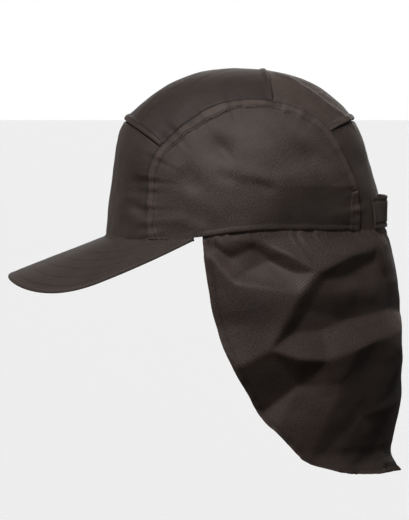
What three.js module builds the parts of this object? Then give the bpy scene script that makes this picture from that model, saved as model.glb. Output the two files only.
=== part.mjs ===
// A legionnaire cap: a crown of sewn cloth panels, a curved peak, a closing strap and a gathered neck flap.
// Millimetres. +Z is up, -Y is the front, +X is the wearer's left.
// The origin is the middle of the head opening, level with the front of the rim.
import * as THREE from "three";

// Crown, measured outside
const crownLength = 205.8;
const crownWidth = 168;
const crownHeight = 124.6;
const crownWall = 1.2;
const rimRise = 7;
const stripColumns = 12;
const stripRows = 8;
const sideColumns = 14;
const sideRows = 9;

// Seams and edges of the crown
const sewnGap = 0.3;
const felledWidth = 6;
const felledRise = 0.7;
const lipWidth = 5;
const lipRise = 1.7;
const crossLipRise = 1.1;
const hemHeight = 5;
const hemRise = 0.5;
const edgeSlope = 1.4;

// Peak
const peakReach = 74;
const peakWidth = 169;
const peakWidest = 4;
const peakTail = 179;
const peakSlope = 21.4;
const peakDrop = 0.6;
const peakGap = 0.7;
const peakWall = 2.5;
const peakCorner = 65;
const peakOval = 0.93;
const peakColumns = 32;
const peakRows = 8;

// The low arch cut out of the back panel, and the strap across it
const openingHeight = 25;
const openingShare = 0.58;
const openingFullness = 2.6;
const archColumns = 6;
const legColumns = 3;
const strapHeight = 22.8;
const strapWall = 1.6;
const strapEndTurn = 22.9;
const strapSewnFrom = 0.55;
const strapSewnTo = 0.9;
const strapSlack = 0.8;
const strapColumns = 24;
const strapRows = 3;

// Neck flap
const flapLength = 177;
const flapWall = 1.2;
const flapStart = 32.3;
const flapBulge = 12;
const flapCornerRise = 4;
const foldDepth = 15;
const foldStart = 18;
const foldStep = 11;
const foldMargin = 12;
const foldSoftness = 1.5;
const gatherDepth = 1.3;
const gatherStart = 3.5;
const gatherFade = 16;
const gatherCount = 17;
const flapRows = 18;

// The crown's middle line from the front rim over the top to the back rim.
// turn: degrees from the front rim. reach: share of half the length, or of the height, in that direction.
// fullness: how square the section is from the middle line out to the side, 2 for an ellipse.
const MIDDLE_LINE = [
  { turn: 0, reach: 1.008, fullness: 2.12 },
  { turn: 12, reach: 1.007, fullness: 2.14 },
  { turn: 24, reach: 1.043, fullness: 2.18 },
  { turn: 31, reach: 1.085, fullness: 2.22 },
  { turn: 38, reach: 1.105, fullness: 2.26 },
  { turn: 44, reach: 1.09, fullness: 2.3 },
  { turn: 57, reach: 1.059, fullness: 2.34 },
  { turn: 70, reach: 1.026, fullness: 2.38 },
  { turn: 86, reach: 1.001, fullness: 2.4 },
  { turn: 98, reach: 1.0, fullness: 2.38 },
  { turn: 108, reach: 1.01, fullness: 2.36 },
  { turn: 118, reach: 1.025, fullness: 2.32 },
  { turn: 128, reach: 1.036, fullness: 2.28 },
  { turn: 138, reach: 1.038, fullness: 2.22 },
  { turn: 145, reach: 1.024, fullness: 2.18 },
  { turn: 151, reach: 1.0, fullness: 2.16 },
  { turn: 157, reach: 0.984, fullness: 2.14 },
  { turn: 165, reach: 0.982, fullness: 2.12 },
  { turn: 172, reach: 0.992, fullness: 2.12 },
  { turn: 180, reach: 1.006, fullness: 2.12 },
];

// The seam between the middle strip and a side panel. spread: degrees out from the middle line.
const SIDE_SEAM = [
  { turn: 0, spread: 47.3 },
  { turn: 19, spread: 44.4 },
  { turn: 34, spread: 42.4 },
  { turn: 46, spread: 42.6 },
  { turn: 58, spread: 42.6 },
  { turn: 76, spread: 41.2 },
  { turn: 97, spread: 39.4 },
  { turn: 117, spread: 37.4 },
  { turn: 131, spread: 36.4 },
  { turn: 147, spread: 36.2 },
  { turn: 160, spread: 33.4 },
  { turn: 180, spread: 32 },
];
// The seams across the strip: the turn at the middle line, and how much further round each is at the side.
const ACROSS = {
  front: { turn: 38.3, bow: 3.5 },
  crown: { turn: 98.5, bow: 5 },
  back: { turn: 139, bow: -5.5 },
};
// Where the long top edge of a side panel starts and ends.
const shoulderFront = 50;
const shoulderBack = 132;

// How far the rim lifts over the ears and at the back.
// along: share of half the length. lift: share of rimRise.
const RIM_LINE = [
  { along: -1, lift: 0 },
  { along: -0.68, lift: 0 },
  { along: -0.35, lift: 0.3 },
  { along: -0.05, lift: 0.9 },
  { along: 0.38, lift: 1 },
  { along: 0.67, lift: 0.8 },
  { along: 1, lift: 0.9 },
];

// Soft dents in both side panels and the corners of the front panel.
// round: degrees from the front, seen from above. up: share of the height. deep: share of crownWidth.
const DENTS = [
  { round: 79, up: 0.52, wide: 9, tall: 0.08, deep: 0.012 },
  { round: 118, up: 0.47, wide: 9, tall: 0.08, deep: 0.011 },
  { round: 64, up: 0.34, wide: 8, tall: 0.07, deep: 0.01 },
  { round: 94, up: 0.33, wide: 12, tall: 0.05, deep: -0.009 },
  { round: 40, up: 0.24, wide: 6, tall: 0.12, deep: 0.012 },
];

// Behind the ears the cloth is drawn in towards the rim below a crease.
const tuckDepth = 5;
const tuckTop = 0.26;
const tuckFront = 98;
const tuckBack = 152;
const tuckFade = 14;

// The flap's front edge. down: share of flapLength. turn: share of the turn from the back to its top corner.
const FLAP_EDGE = [
  { down: 0, turn: 1.0 },
  { down: 0.08, turn: 0.988 },
  { down: 0.22, turn: 0.968 },
  { down: 0.38, turn: 0.938 },
  { down: 0.53, turn: 0.884 },
  { down: 0.66, turn: 0.824 },
  { down: 0.76, turn: 0.768 },
  { down: 0.81, turn: 0.718 },
  { down: 0.863, turn: 0.666 },
  { down: 0.914, turn: 0.616 },
  { down: 0.94, turn: 0.582 },
  { down: 0.966, turn: 0.51 },
  { down: 1, turn: 0.37 },
];

// How far the flap swells out behind the rim. down: share of flapLength. out: share of flapBulge.
const FLAP_SWELL = [
  { down: 0, out: 0 },
  { down: 0.03, out: 0.16 },
  { down: 0.08, out: 0.46 },
  { down: 0.2, out: 0.86 },
  { down: 0.32, out: 1.02 },
  { down: 0.55, out: 1.06 },
  { down: 0.64, out: 1.02 },
  { down: 0.76, out: 0.86 },
  { down: 0.87, out: 0.52 },
  { down: 0.93, out: 0.36 },
  { down: 1, out: 0.66 },
];

// Creases pressed into the flap, each a straight line in the cloth.
// turn: degrees from the back. down: share of flapLength. out: share of foldDepth, a ridge where it is high.
const FOLDS = [
  { turn: [84, 73.5], down: [0.027, 0.097], out: [0.2, 0.62] },
  { turn: [73.5, 63.5], down: [0.097, 0.158], out: [0.62, 1] },
  { turn: [29.5, 63.5], down: [0.046, 0.158], out: [0.3, 1] },
  { turn: [63.5, 70.5], down: [0.158, 0.243], out: [1, 1] },
  { turn: [70.5, 75.5], down: [0.243, 0.356], out: [1, 0.95] },
  { turn: [75.5, 81.5], down: [0.356, 0.469], out: [0.95, 0.9] },
  { turn: [81.5, 92.5], down: [0.469, 0.539], out: [0.9, 0.65] },
  { turn: [87, 77.5], down: [0.058, 0.124], out: [-0.1, 0.12] },
  { turn: [77.5, 65], down: [0.124, 0.186], out: [0.12, 0.55] },
  { turn: [25.5, 59], down: [0.092, 0.184], out: [-0.05, 0.35] },
  { turn: [104, 92], down: [0.04, 0.172], out: [0.1, 0.45] },
  { turn: [100, 86], down: [0.037, 0.082], out: [-0.1, -0.1] },
  { turn: [98, 94], down: [0.26, 0.42], out: [0.25, 0.3] },
  { turn: [65, 71], down: [0.242, 0.392], out: [0.4, 0.45] },
  { turn: [62.5, 62.5], down: [0.252, 0.321], out: [0.5, 0.55] },
  { turn: [62.5, 60], down: [0.321, 0.394], out: [0.55, 0.6] },
  { turn: [60, 58.5], down: [0.394, 0.515], out: [0.6, 0.85] },
  { turn: [54, 5], down: [0.358, 0.32], out: [0.25, 0] },
  { turn: [58.5, 14], down: [0.515, 0.398], out: [0.85, 0.15] },
  { turn: [58.5, 70.5], down: [0.515, 0.502], out: [0.85, 0.82] },
  { turn: [70.5, 81.5], down: [0.502, 0.469], out: [0.82, 0.9] },
  { turn: [58.5, 52], down: [0.515, 0.609], out: [0.85, 0.8] },
  { turn: [52, 38.5], down: [0.609, 0.738], out: [0.8, 0.65] },
  { turn: [38.5, 20.5], down: [0.738, 0.876], out: [0.65, 0.45] },
  { turn: [20.5, 0], down: [0.876, 0.985], out: [0.45, 0.6] },
  { turn: [62.5, 68], down: [0.555, 0.617], out: [0.35, 0.12] },
  { turn: [68, 83.5], down: [0.617, 0.737], out: [0.12, -0.15] },
  { turn: [49, 16], down: [0.559, 0.71], out: [0.3, -0.1] },
  { turn: [76, 52], down: [0.82, 0.96], out: [0.2, 0.4] },
];
// The far side hangs a little calmer than the near one.
const farSideFolds = 0.75;

const CLOTH = {
  crown: new THREE.MeshStandardMaterial({ color: 0x3d3633, roughness: 0.72, metalness: 0 }),
  peak: new THREE.MeshStandardMaterial({ color: 0x3f3835, roughness: 0.78, metalness: 0 }),
  flap: new THREE.MeshStandardMaterial({ color: 0x352e2b, roughness: 0.66, metalness: 0 }),
  strap: new THREE.MeshStandardMaterial({ color: 0x38312e, roughness: 0.8, metalness: 0 }),
};

const degrees = THREE.MathUtils.degToRad;
const { lerp, smoothstep, radToDeg } = THREE.MathUtils;
const halfLength = crownLength / 2;
const halfWidth = crownWidth / 2;
// The angle that half a sewn gap takes up on the crown.
const halfGapTurn = radToDeg(sewnGap / 2 / halfWidth);

// A column of a table at a place between its rows, along a smooth curve through them.
function sample(table, key, column, at) {
  const last = table.length - 1;
  if (at <= table[0][key]) return table[0][column];
  if (at >= table[last][key]) return table[last][column];
  const i = table.findIndex((row) => row[key] > at) - 1;
  const slope = (k) => {
    const before = table[Math.max(k - 1, 0)];
    const after = table[Math.min(k + 1, last)];
    return (after[column] - before[column]) / (after[key] - before[key]);
  };
  const width = table[i + 1][key] - table[i][key];
  const t = (at - table[i][key]) / width;
  const start = table[i][column] + slope(i) * width * t;
  const end = table[i + 1][column] - slope(i + 1) * width * (1 - t);
  return lerp(start, end, t * t * (3 - 2 * t));
}

// A direction from the origin, by its turn over the middle line and its spread to the side.
function direction(turn, spread) {
  const flat = Math.cos(degrees(spread));
  return new THREE.Vector3(
    Math.sin(degrees(spread)),
    -flat * Math.cos(degrees(turn)),
    flat * Math.sin(degrees(turn)),
  );
}

// A direction at rim level, round degrees from the front.
function rimDirection(round) {
  return new THREE.Vector3(Math.sin(degrees(round)), -Math.cos(degrees(round)), 0);
}

// How far the cloth is pushed in at a place, given as shares of the crown's size.
function dentAt(place) {
  const round = radToDeg(Math.atan2(Math.abs(place.x), -place.y));
  const starts = smoothstep(round, tuckFront - tuckFade, tuckFront + tuckFade);
  const ends = 1 - smoothstep(round, tuckBack - tuckFade, tuckBack + tuckFade);
  const tuck = tuckDepth * starts * ends * Math.max(0, 1 - place.z / tuckTop);
  return DENTS.reduce((sum, dent) => {
    const across = (round - dent.round) / dent.wide;
    const upward = (place.z - dent.up) / dent.tall;
    return sum + dent.deep * crownWidth * Math.exp(-across * across - upward * upward);
  }, tuck);
}

// The crown's outer surface in a direction.
function crownForm(toward) {
  const d = toward.clone().normalize();
  const turn = radToDeg(Math.atan2(Math.abs(d.z), -d.y));
  const reach = sample(MIDDLE_LINE, "turn", "reach", turn);
  const fullness = sample(MIDDLE_LINE, "turn", "fullness", turn);
  const middle = Math.hypot(d.y, d.z) / reach;
  const far = (Math.abs(d.x) ** fullness + middle ** fullness) ** (-1 / fullness);
  const p = d.multiplyScalar(far);
  const inward = 1 - dentAt(p) / halfWidth;
  p.set(p.x * inward * halfWidth, p.y * inward * halfLength, p.z * crownHeight);
  const lift = sample(RIM_LINE, "along", "lift", p.y / halfLength);
  const fade = 1 - THREE.MathUtils.clamp(p.z / crownHeight, 0, 1);
  p.z += rimRise * lift * fade * fade;
  return p;
}

// A point that stands out of the crown's outer surface by a distance, or lies inside it.
function crownPoint(toward, out) {
  const step = 0.004;
  const d = toward.clone().normalize();
  const side = new THREE.Vector3().crossVectors(d, Math.abs(d.z) < 0.9 ? UP : FORWARD).normalize();
  const rise = new THREE.Vector3().crossVectors(side, d);
  const near = (way, amount) => crownForm(d.clone().addScaledVector(way, amount));
  const alongSide = near(side, step).sub(near(side, -step));
  const alongRise = near(rise, step).sub(near(rise, -step));
  const normal = alongRise.cross(alongSide).normalize();
  return crownForm(d).addScaledVector(normal, out);
}
const UP = new THREE.Vector3(0, 0, 1);
const FORWARD = new THREE.Vector3(0, -1, 0);

// Evenly spaced stations from 0 to 1.
function stations(count) {
  return Array.from({ length: count + 1 }, (_, i) => i / count);
}

// Stations with an extra pair at each edge that has a raised band, given as shares of the whole.
function bandedStations(count, startBand, endBand, slope) {
  const marks = stations(count).filter((s) => s > startBand + 2 * slope && s < 1 - endBand - 2 * slope);
  const start = startBand > 0 ? [0, startBand, startBand + slope] : [0];
  const end = endBand > 0 ? [1 - endBand - slope, 1 - endBand, 1] : [1];
  return [...start, ...marks, ...end];
}

// The length of a path over the crown, from the directions that it passes through.
function lengthOver(path) {
  const points = stations(24).map((s) => crownForm(path(s)));
  return points.slice(1).reduce((sum, p, i) => sum + p.distanceTo(points[i]), 0);
}

// A closed sheet of cloth: a block of thin cells, each corner moved to its place on the piece.
// place(u, v, w) gives a point from shares along, across and through the cloth.
function cloth(name, material, along, across, place) {
  const geometry = new THREE.BoxGeometry(1, 1, 1, along.length - 1, across.length - 1, 1);
  const corners = geometry.attributes.position;
  for (let k = 0; k < corners.count; k++) {
    const u = along[Math.round((corners.getX(k) + 0.5) * (along.length - 1))];
    const v = across[Math.round((corners.getY(k) + 0.5) * (across.length - 1))];
    const p = place(u, v, corners.getZ(k) + 0.5);
    corners.setXYZ(k, p.x, p.y, p.z);
  }
  matchDiagonals(geometry);
  facesOutwards(geometry);
  geometry.computeVertexNormals();
  const mesh = new THREE.Mesh(geometry, material);
  mesh.name = name;
  return mesh;
}

// A block's back cells are split along the other diagonal from the front ones.
// Splitting both alike keeps a thin, twisted sheet evenly thick.
function matchDiagonals(geometry) {
  const index = geometry.index;
  const back = geometry.groups[5];
  for (let i = back.start; i < back.start + back.count; i += 6) {
    const first = index.getX(i);
    const opposite = index.getX(i + 4);
    index.setX(i + 2, opposite);
    index.setX(i + 3, first);
  }
}

// Turns every face round if they point inwards, as on a piece that mirrors another.
function facesOutwards(geometry) {
  const index = geometry.index;
  const corner = (i) => new THREE.Vector3().fromBufferAttribute(geometry.attributes.position, index.getX(i));
  let volume = 0;
  for (let i = 0; i < index.count; i += 3) volume += corner(i).dot(corner(i + 1).cross(corner(i + 2)));
  if (volume > 0) return;
  for (let i = 0; i < index.count; i += 3) {
    const second = index.getX(i + 1);
    index.setX(i + 1, index.getX(i + 2));
    index.setX(i + 2, second);
  }
}

// Half the width of the middle strip, as a spread, at a turn over the crown.
function seamSpread(turn) {
  return sample(SIDE_SEAM, "turn", "spread", turn);
}

// The turn of a seam across the strip, from the middle line at side 0 to the side seams at side 1 and -1.
function acrossTurn(seam, side) {
  return seam.turn + seam.bow * side * side;
}

// A piece of the middle strip between two turns, which may differ from the middle to the side.
function stripPanel(name, fromTurn, toTurn, raise, columns, rows) {
  return cloth(name, CLOTH.crown, columns, rows, (u, v, w) => {
    const side = 2 * u - 1;
    const turn = lerp(fromTurn(side), toTurn(side), v);
    const spread = side * (seamSpread(turn) - halfGapTurn);
    return crownPoint(direction(turn, spread), w === 1 ? raise(side, v) : -crownWall);
  });
}

function frontPanel() {
  const end = (side) => acrossTurn(ACROSS.front, side) - halfGapTurn;
  return stripPanel("front_panel", () => 0, end, () => 0, stations(stripColumns), stations(stripRows));
}

// A top panel's ends may be folded under, and stand a little proud of the panels that they are sewn to.
function topPanel(name, from, to, startRise, endRise) {
  const start = (side) => acrossTurn(from, side) + halfGapTurn;
  const end = (side) => acrossTurn(to, side) - halfGapTurn;
  const length = lengthOver((s) => direction(lerp(from.turn, to.turn, s), 0));
  const raise = (side, v) => {
    const sewnDown = 1 - smoothstep(Math.abs(side), 0.8, 1);
    const onStart = v * length < lipWidth + edgeSlope / 2;
    const onEnd = (1 - v) * length < lipWidth + edgeSlope / 2;
    return sewnDown * (onStart ? startRise : onEnd ? endRise : 0);
  };
  const share = (rise) => (rise > 0 ? lipWidth / length : 0);
  const rows = bandedStations(stripRows, share(startRise), share(endRise), edgeSlope / length);
  return stripPanel(name, start, end, raise, stations(stripColumns), rows);
}

// The back panel reaches down to the rim at both sides, with a low arch cut out between.
function backPanel() {
  const start = (side) => acrossTurn(ACROSS.back, side) + halfGapTurn;
  const lower = (side) => {
    const across = Math.min(Math.abs(side) / openingShare, 1);
    return turnAbove(side, openingHeight * (1 - across ** openingFullness) ** (1 / openingFullness));
  };
  const arch = stations(archColumns).slice(1).map((s) => openingShare * Math.sin((s * Math.PI) / 2));
  const leg = stations(legColumns).slice(1).map((s) => lerp(openingShare, 1, s));
  const half = [...arch, ...leg];
  const columns = [...half.map((s) => -s).reverse(), 0, ...half].map((s) => (s + 1) / 2);
  return stripPanel("back_panel", start, lower, () => 0, columns, stations(stripRows));
}

// The turn at which the back of the crown is a height above the rim.
function turnAbove(side, height) {
  if (height < sewnGap) return 180;
  const at = (turn) => crownForm(direction(turn, side * seamSpread(turn))).z;
  let high = ACROSS.back.turn;
  let low = 180;
  const level = at(180) + height;
  for (let i = 0; i < 24; i++) {
    const middle = (high + low) / 2;
    if (at(middle) > level) high = middle;
    else low = middle;
  }
  return high;
}

// A side panel is a patch with four edges: the rim, and the seam up the front, over and down the back.
function sidePatch(side, u, v) {
  const seam = (turn) => direction(turn, side * (seamSpread(turn) + halfGapTurn));
  const rimFront = seamSpread(0) + halfGapTurn;
  const rimBack = 180 - seamSpread(180) - halfGapTurn;
  const rim = (s) => rimDirection(side * lerp(rimFront, rimBack, s));
  const over = (s) => seam(lerp(shoulderFront, shoulderBack, s));
  const front = (s) => seam(shoulderFront * s);
  const back = (s) => seam(lerp(180, shoulderBack, s));
  const mix = new THREE.Vector3();
  mix.addScaledVector(rim(u), 1 - v).addScaledVector(over(u), v);
  mix.addScaledVector(front(v), 1 - u).addScaledVector(back(v), u);
  mix.addScaledVector(rim(0), -(1 - u) * (1 - v)).addScaledVector(rim(1), -u * (1 - v));
  return mix.addScaledVector(over(0), -(1 - u) * v).addScaledVector(over(1), -u * v);
}

// Each side panel has a thick felled seam along the strip, and a turned hem where the flap hangs.
function sidePanel(name, side) {
  const length = lengthOver((s) => sidePatch(side, s, 0.5));
  const height = lengthOver((s) => sidePatch(side, 0.5, s));
  const seamAlong = felledWidth / length;
  const along = bandedStations(sideColumns, seamAlong, seamAlong, edgeSlope / length);
  const across = bandedStations(sideRows, hemHeight / height, felledWidth / height, edgeSlope / height);
  const half = edgeSlope / 2;
  return cloth(name, CLOTH.crown, along, across, (u, v, w) => {
    const toward = sidePatch(side, u, v);
    if (w === 0) return crownPoint(toward, -crownWall);
    const toSeam = Math.min(u * length, (1 - u) * length, (1 - v) * height);
    const onHem = v * height < hemHeight + half && crownForm(toward).y > -flapStart;
    return crownPoint(toward, Math.max(toSeam < felledWidth + half ? felledRise : 0, onHem ? hemRise : 0));
  });
}

// The peak's outline seen from above: half an oval in front of its widest place and a longer one behind it.
function peakOutline(s) {
  const widestY = -halfLength - peakWidest;
  const frontDepth = peakReach - peakWidest;
  const cornerY = -halfLength + peakCorner;
  const tailTurn = radToDeg(Math.asin((cornerY - widestY) / peakTail));
  const turn = s * (90 + tailTurn);
  const across = Math.sin(degrees(turn));
  const ahead = Math.cos(degrees(turn));
  const x = (peakWidth / 2) * Math.sign(across) * Math.abs(across) ** peakOval;
  if (ahead >= 0) return new THREE.Vector2(x, widestY - frontDepth * ahead ** peakOval);
  return new THREE.Vector2(x, widestY - peakTail * ahead);
}

// The curved board that the peak is cut from: it slopes down to the front and falls away to both sides.
function boardHeight(x, y) {
  const slope = Math.tan(degrees(peakSlope));
  const corner = rimAtDepth(-halfLength + peakCorner);
  const arch = (slope * peakCorner - corner.z) / (corner.x * corner.x);
  return slope * (y + halfLength) - peakDrop - arch * x * x;
}

// The rim's point on the left at a place from front to back.
function rimAtDepth(y) {
  let front = 0;
  let back = 180;
  for (let i = 0; i < 30; i++) {
    const round = (front + back) / 2;
    if (crownForm(rimDirection(round)).y < y) front = round;
    else back = round;
  }
  return crownForm(rimDirection(front));
}

// The turn round the rim at a place from front to back.
function roundAtDepth(y) {
  const p = rimAtDepth(y);
  return radToDeg(Math.atan2(p.x / halfWidth, -p.y / halfLength));
}

// The peak runs from under the crown's inner face out to its rounded edge.
function peak() {
  const cornerRound = roundAtDepth(-halfLength + peakCorner);
  const top = (s, t) => {
    const inner = crownPoint(rimDirection(s * cornerRound), -crownWall);
    const outer = peakOutline(s);
    const x = lerp(inner.x, outer.x, t);
    const y = lerp(inner.y, outer.y, t);
    const underRim = inner.z - peakGap - boardHeight(inner.x, inner.y);
    return new THREE.Vector3(x, y, boardHeight(x, y) + underRim * (1 - t) ** 2);
  };
  const rows = stations(peakRows).map((s) => (1 - Math.cos(Math.PI * s)) / 2);
  const slant = Math.tan(degrees(peakSlope));
  return cloth("peak", CLOTH.peak, stations(peakColumns), rows, (u, v, w) => {
    const p = top(2 * u - 1, v);
    const fall = (boardHeight(p.x + 1, p.y) - boardHeight(p.x - 1, p.y)) / 2;
    const down = new THREE.Vector3(fall, slant, -1).normalize();
    return w === 1 ? p : p.addScaledVector(down, peakWall);
  });
}

// A point off the crown's outer surface, round degrees from the back and a height above the rim.
function backWall(round, height, out) {
  const level = rimDirection(180 - round);
  const toward = level.clone();
  const rim = crownForm(level).z;
  for (let i = 0; i < 12; i++) toward.z += (rim + height - crownForm(toward).z) / crownHeight;
  return crownPoint(toward, out);
}

// The strap's ends are sewn onto the back panel, and between them it stands upright across the arch.
function backStrap() {
  return cloth("back_strap", CLOTH.strap, stations(strapColumns), stations(strapRows), (u, v, w) => {
    const side = 2 * u - 1;
    const round = side * strapEndTurn;
    const height = sewnGap + v * strapHeight;
    const sewn = smoothstep(Math.abs(side), strapSewnFrom, strapSewnTo);
    const out = sewnGap + w * strapWall;
    const upright = crownPoint(rimDirection(180 - round), out + strapSlack * (1 - sewn));
    upright.z = crownForm(rimDirection(180 - round)).z + height;
    return upright.lerp(backWall(round, height, out), sewn);
  });
}

// Points along the creases and the flap's borders, flat in the cloth: x round the head, y down, z out.
function creasePoints() {
  const arc = degrees(halfWidth);
  const points = [];
  const place = (x, y, z) => {
    const taken = points.some((p) => Math.hypot(p.x - x, p.y - y) < foldStep / 4);
    if (!taken) points.push(new THREE.Vector3(x, y, z));
  };
  for (const { turn, down, out } of FOLDS) {
    const length = Math.hypot((turn[1] - turn[0]) * arc, (down[1] - down[0]) * flapLength);
    for (const s of stations(Math.ceil(length / foldStep))) {
      const x = lerp(turn[0], turn[1], s) * arc;
      const y = lerp(down[0], down[1], s) * flapLength;
      place(x, y, lerp(out[0], out[1], s) * foldDepth);
    }
  }
  for (const s of stations(9)) {
    place(s * flapCorner * arc, -foldSoftness, 0);
    place(s * flapCorner * arc, flapLength + foldMargin / 2, 0);
    place(-foldMargin, s * flapLength, 0);
  }
  for (const { down, turn } of FLAP_EDGE) place(turn * flapCorner * arc + foldMargin, down * flapLength, 0);
  return points;
}

// The triangles that span the points with no other point inside their circle.
function spanned(points) {
  const triangles = [];
  for (let i = 0; i < points.length; i++) {
    for (let j = i + 1; j < points.length; j++) {
      for (let k = j + 1; k < points.length; k++) {
        const [a, b, c] = [points[i], points[j], points[k]];
        const area = (b.x - a.x) * (c.y - a.y) - (c.x - a.x) * (b.y - a.y);
        if (Math.abs(area) < 1e-6) continue;
        const ab = b.x * b.x + b.y * b.y - a.x * a.x - a.y * a.y;
        const ac = c.x * c.x + c.y * c.y - a.x * a.x - a.y * a.y;
        const x = (ab * (c.y - a.y) - ac * (b.y - a.y)) / (2 * area);
        const y = (ac * (b.x - a.x) - ab * (c.x - a.x)) / (2 * area);
        const radius = Math.hypot(a.x - x, a.y - y) - 1e-6;
        if (points.every((p) => Math.hypot(p.x - x, p.y - y) > radius)) triangles.push({ a, b, c, area });
      }
    }
  }
  return triangles;
}

// Between the creases the cloth runs straight from one to the next.
function spanOut(x, y) {
  for (const { a, b, c, area } of SPANS) {
    const onB = ((x - a.x) * (c.y - a.y) - (c.x - a.x) * (y - a.y)) / area;
    const onC = ((b.x - a.x) * (y - a.y) - (x - a.x) * (b.y - a.y)) / area;
    if (onB < -1e-6 || onC < -1e-6 || onB + onC > 1 + 1e-6) continue;
    return a.z * (1 - onB - onC) + b.z * onB + c.z * onC;
  }
  return 0;
}

// How far the creases push the flap out at a place, with every crease slightly rounded.
function foldedOut(turn, down) {
  const x = Math.abs(turn) * degrees(halfWidth);
  const y = down * flapLength;
  const near = [[1, 0], [-1, 0], [0, 1], [0, -1]];
  const sum = near.reduce((s, [i, j]) => s + spanOut(x + i * foldSoftness, y + j * foldSoftness), 0);
  return (sum / near.length) * lerp(1, farSideFolds, smoothstep(-turn, -20, 20));
}

// The flap's middle surface: it follows the rim at the top, swells out behind, and hangs in creases.
function flapForm(side, down) {
  const turn = side * flapCorner * sample(FLAP_EDGE, "down", "turn", down);
  const rim = crownPoint(rimDirection(180 - turn), -crownWall / 2);
  const away = new THREE.Vector3(rim.x / halfWidth, rim.y / halfLength, 0).normalize();
  const behind = Math.max(Math.cos(degrees(turn)), 0);
  const swell = flapBulge * sample(FLAP_SWELL, "down", "out", down) * behind;
  const folded = foldedOut(turn, down) * smoothstep(down * flapLength, 0, foldStart);
  const ruffle = Math.cos(Math.PI * 2 * gatherCount * side) * Math.exp((-down * flapLength) / gatherFade);
  const gathered = gatherDepth * ruffle * smoothstep(down * flapLength, 0, gatherStart);
  const p = rim.addScaledVector(away, swell + folded + gathered);
  p.z = lerp(p.z - sewnGap, flapCornerRise * side * side - flapLength, down);
  return p;
}

// A point off the flap's middle surface. At the seam it lies straight out, so that the top edge stays level.
function flapPoint(side, down, out) {
  const step = 0.025;
  const alongSide = flapForm(side + step, down).sub(flapForm(side - step, down));
  const above = Math.max(down - step, 0);
  const alongDown = flapForm(side, down + step).sub(flapForm(side, above));
  const normal = alongSide.cross(alongDown);
  normal.z *= smoothstep(down, 0, 2 * step);
  normal.normalize();
  return flapForm(side, down).addScaledVector(normal, out);
}

function neckFlap() {
  const columns = stations(4 * gatherCount);
  const place = (u, v, w) => flapPoint(2 * u - 1, v, (w - 0.5) * flapWall);
  return cloth("neck_flap", CLOTH.flap, columns, stations(flapRows), place);
}

const flapCorner = 180 - roundAtDepth(-flapStart);
const SPANS = spanned(creasePoints());

const cap = new THREE.Group();
cap.name = "legionnaire_cap";
const crown = new THREE.Group();
crown.add(
  frontPanel(),
  topPanel("top_panel_front", ACROSS.front, ACROSS.crown, lipRise, crossLipRise),
  topPanel("top_panel_back", ACROSS.crown, ACROSS.back, 0, lipRise),
  backPanel(),
  sidePanel("side_panel_left", 1),
  sidePanel("side_panel_right", -1),
);
cap.add(crown, backStrap(), peak(), neckFlap());

export default cap;
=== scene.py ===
"""A legionnaire cap of faded dark twill: its cloth panels, seams, stitches, materials, light and camera.

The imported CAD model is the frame. Every cloth piece here repeats the surface of its CAD node on a
much finer grid, and adds what the CAD leaves out: seams, puckers, wrinkles, stitches and weave.
Only the flap's creases are placed anew, sharper than in the CAD and a few millimetres off them.
Metres and degrees. +Z is up, -Y is the front, +X is the wearer's left.
"""
import math

import bpy
import numpy as np
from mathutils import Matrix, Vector
from mathutils.geometry import delaunay_2d_cdt

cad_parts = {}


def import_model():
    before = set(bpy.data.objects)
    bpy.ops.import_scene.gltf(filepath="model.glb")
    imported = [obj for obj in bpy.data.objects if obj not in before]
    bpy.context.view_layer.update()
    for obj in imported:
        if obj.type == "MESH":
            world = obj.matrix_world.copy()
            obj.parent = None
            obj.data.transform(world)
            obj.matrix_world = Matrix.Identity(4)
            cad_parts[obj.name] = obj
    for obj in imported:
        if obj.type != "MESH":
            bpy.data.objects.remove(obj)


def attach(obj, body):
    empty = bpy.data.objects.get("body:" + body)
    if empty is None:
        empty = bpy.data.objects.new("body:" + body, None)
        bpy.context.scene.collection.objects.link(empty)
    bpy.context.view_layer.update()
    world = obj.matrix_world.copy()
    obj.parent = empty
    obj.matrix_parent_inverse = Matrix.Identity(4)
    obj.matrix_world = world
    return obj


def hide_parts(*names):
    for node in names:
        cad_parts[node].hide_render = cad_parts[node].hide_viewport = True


# Crown, as in the CAD
CROWN_LENGTH = 0.2058
CROWN_WIDTH = 0.168
CROWN_HEIGHT = 0.1246
CROWN_WALL = 0.0012
RIM_RISE = 0.007
SEWN_GAP = 0.0003
LIP_WIDTH = 0.005
LIP_RISE = 0.0017
CROSS_LIP_RISE = 0.0011
HEM_HEIGHT = 0.005
HEM_RISE = 0.0006

# Peak, as in the CAD
PEAK_REACH = 0.074
PEAK_WIDTH = 0.169
PEAK_WIDEST = 0.004
PEAK_TAIL = 0.179
PEAK_SLOPE = 21.4
PEAK_DROP = 0.0003
PEAK_GAP = 0.0002
PEAK_WALL = 0.0025
PEAK_CORNER = 0.065
PEAK_OVAL = 0.93

# The arch in the back panel and the strap across it, as in the CAD
OPENING_HEIGHT = 0.025
OPENING_SHARE = 0.58
OPENING_FULLNESS = 2.6
STRAP_HEIGHT = 0.0228
STRAP_WALL = 0.0016
STRAP_END_TURN = 22.9
STRAP_SEWN_FROM = 0.55
STRAP_SEWN_TO = 0.9
STRAP_SLACK = 0.0008

# Neck flap, as in the CAD
FLAP_LENGTH = 0.177
FLAP_WALL = 0.0011
FLAP_START = 0.0323
FLAP_BULGE = 0.012
FLAP_CORNER_RISE = 0.004
FOLD_DEPTH = 0.015
FOLD_START = 0.018
FOLD_MARGIN = 0.012
GATHER_DEPTH = 0.001
GATHER_START = 0.0035
GATHER_FADE = 0.008
GATHER_COUNT = 27
FAR_SIDE_FOLDS = 0.75

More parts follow.
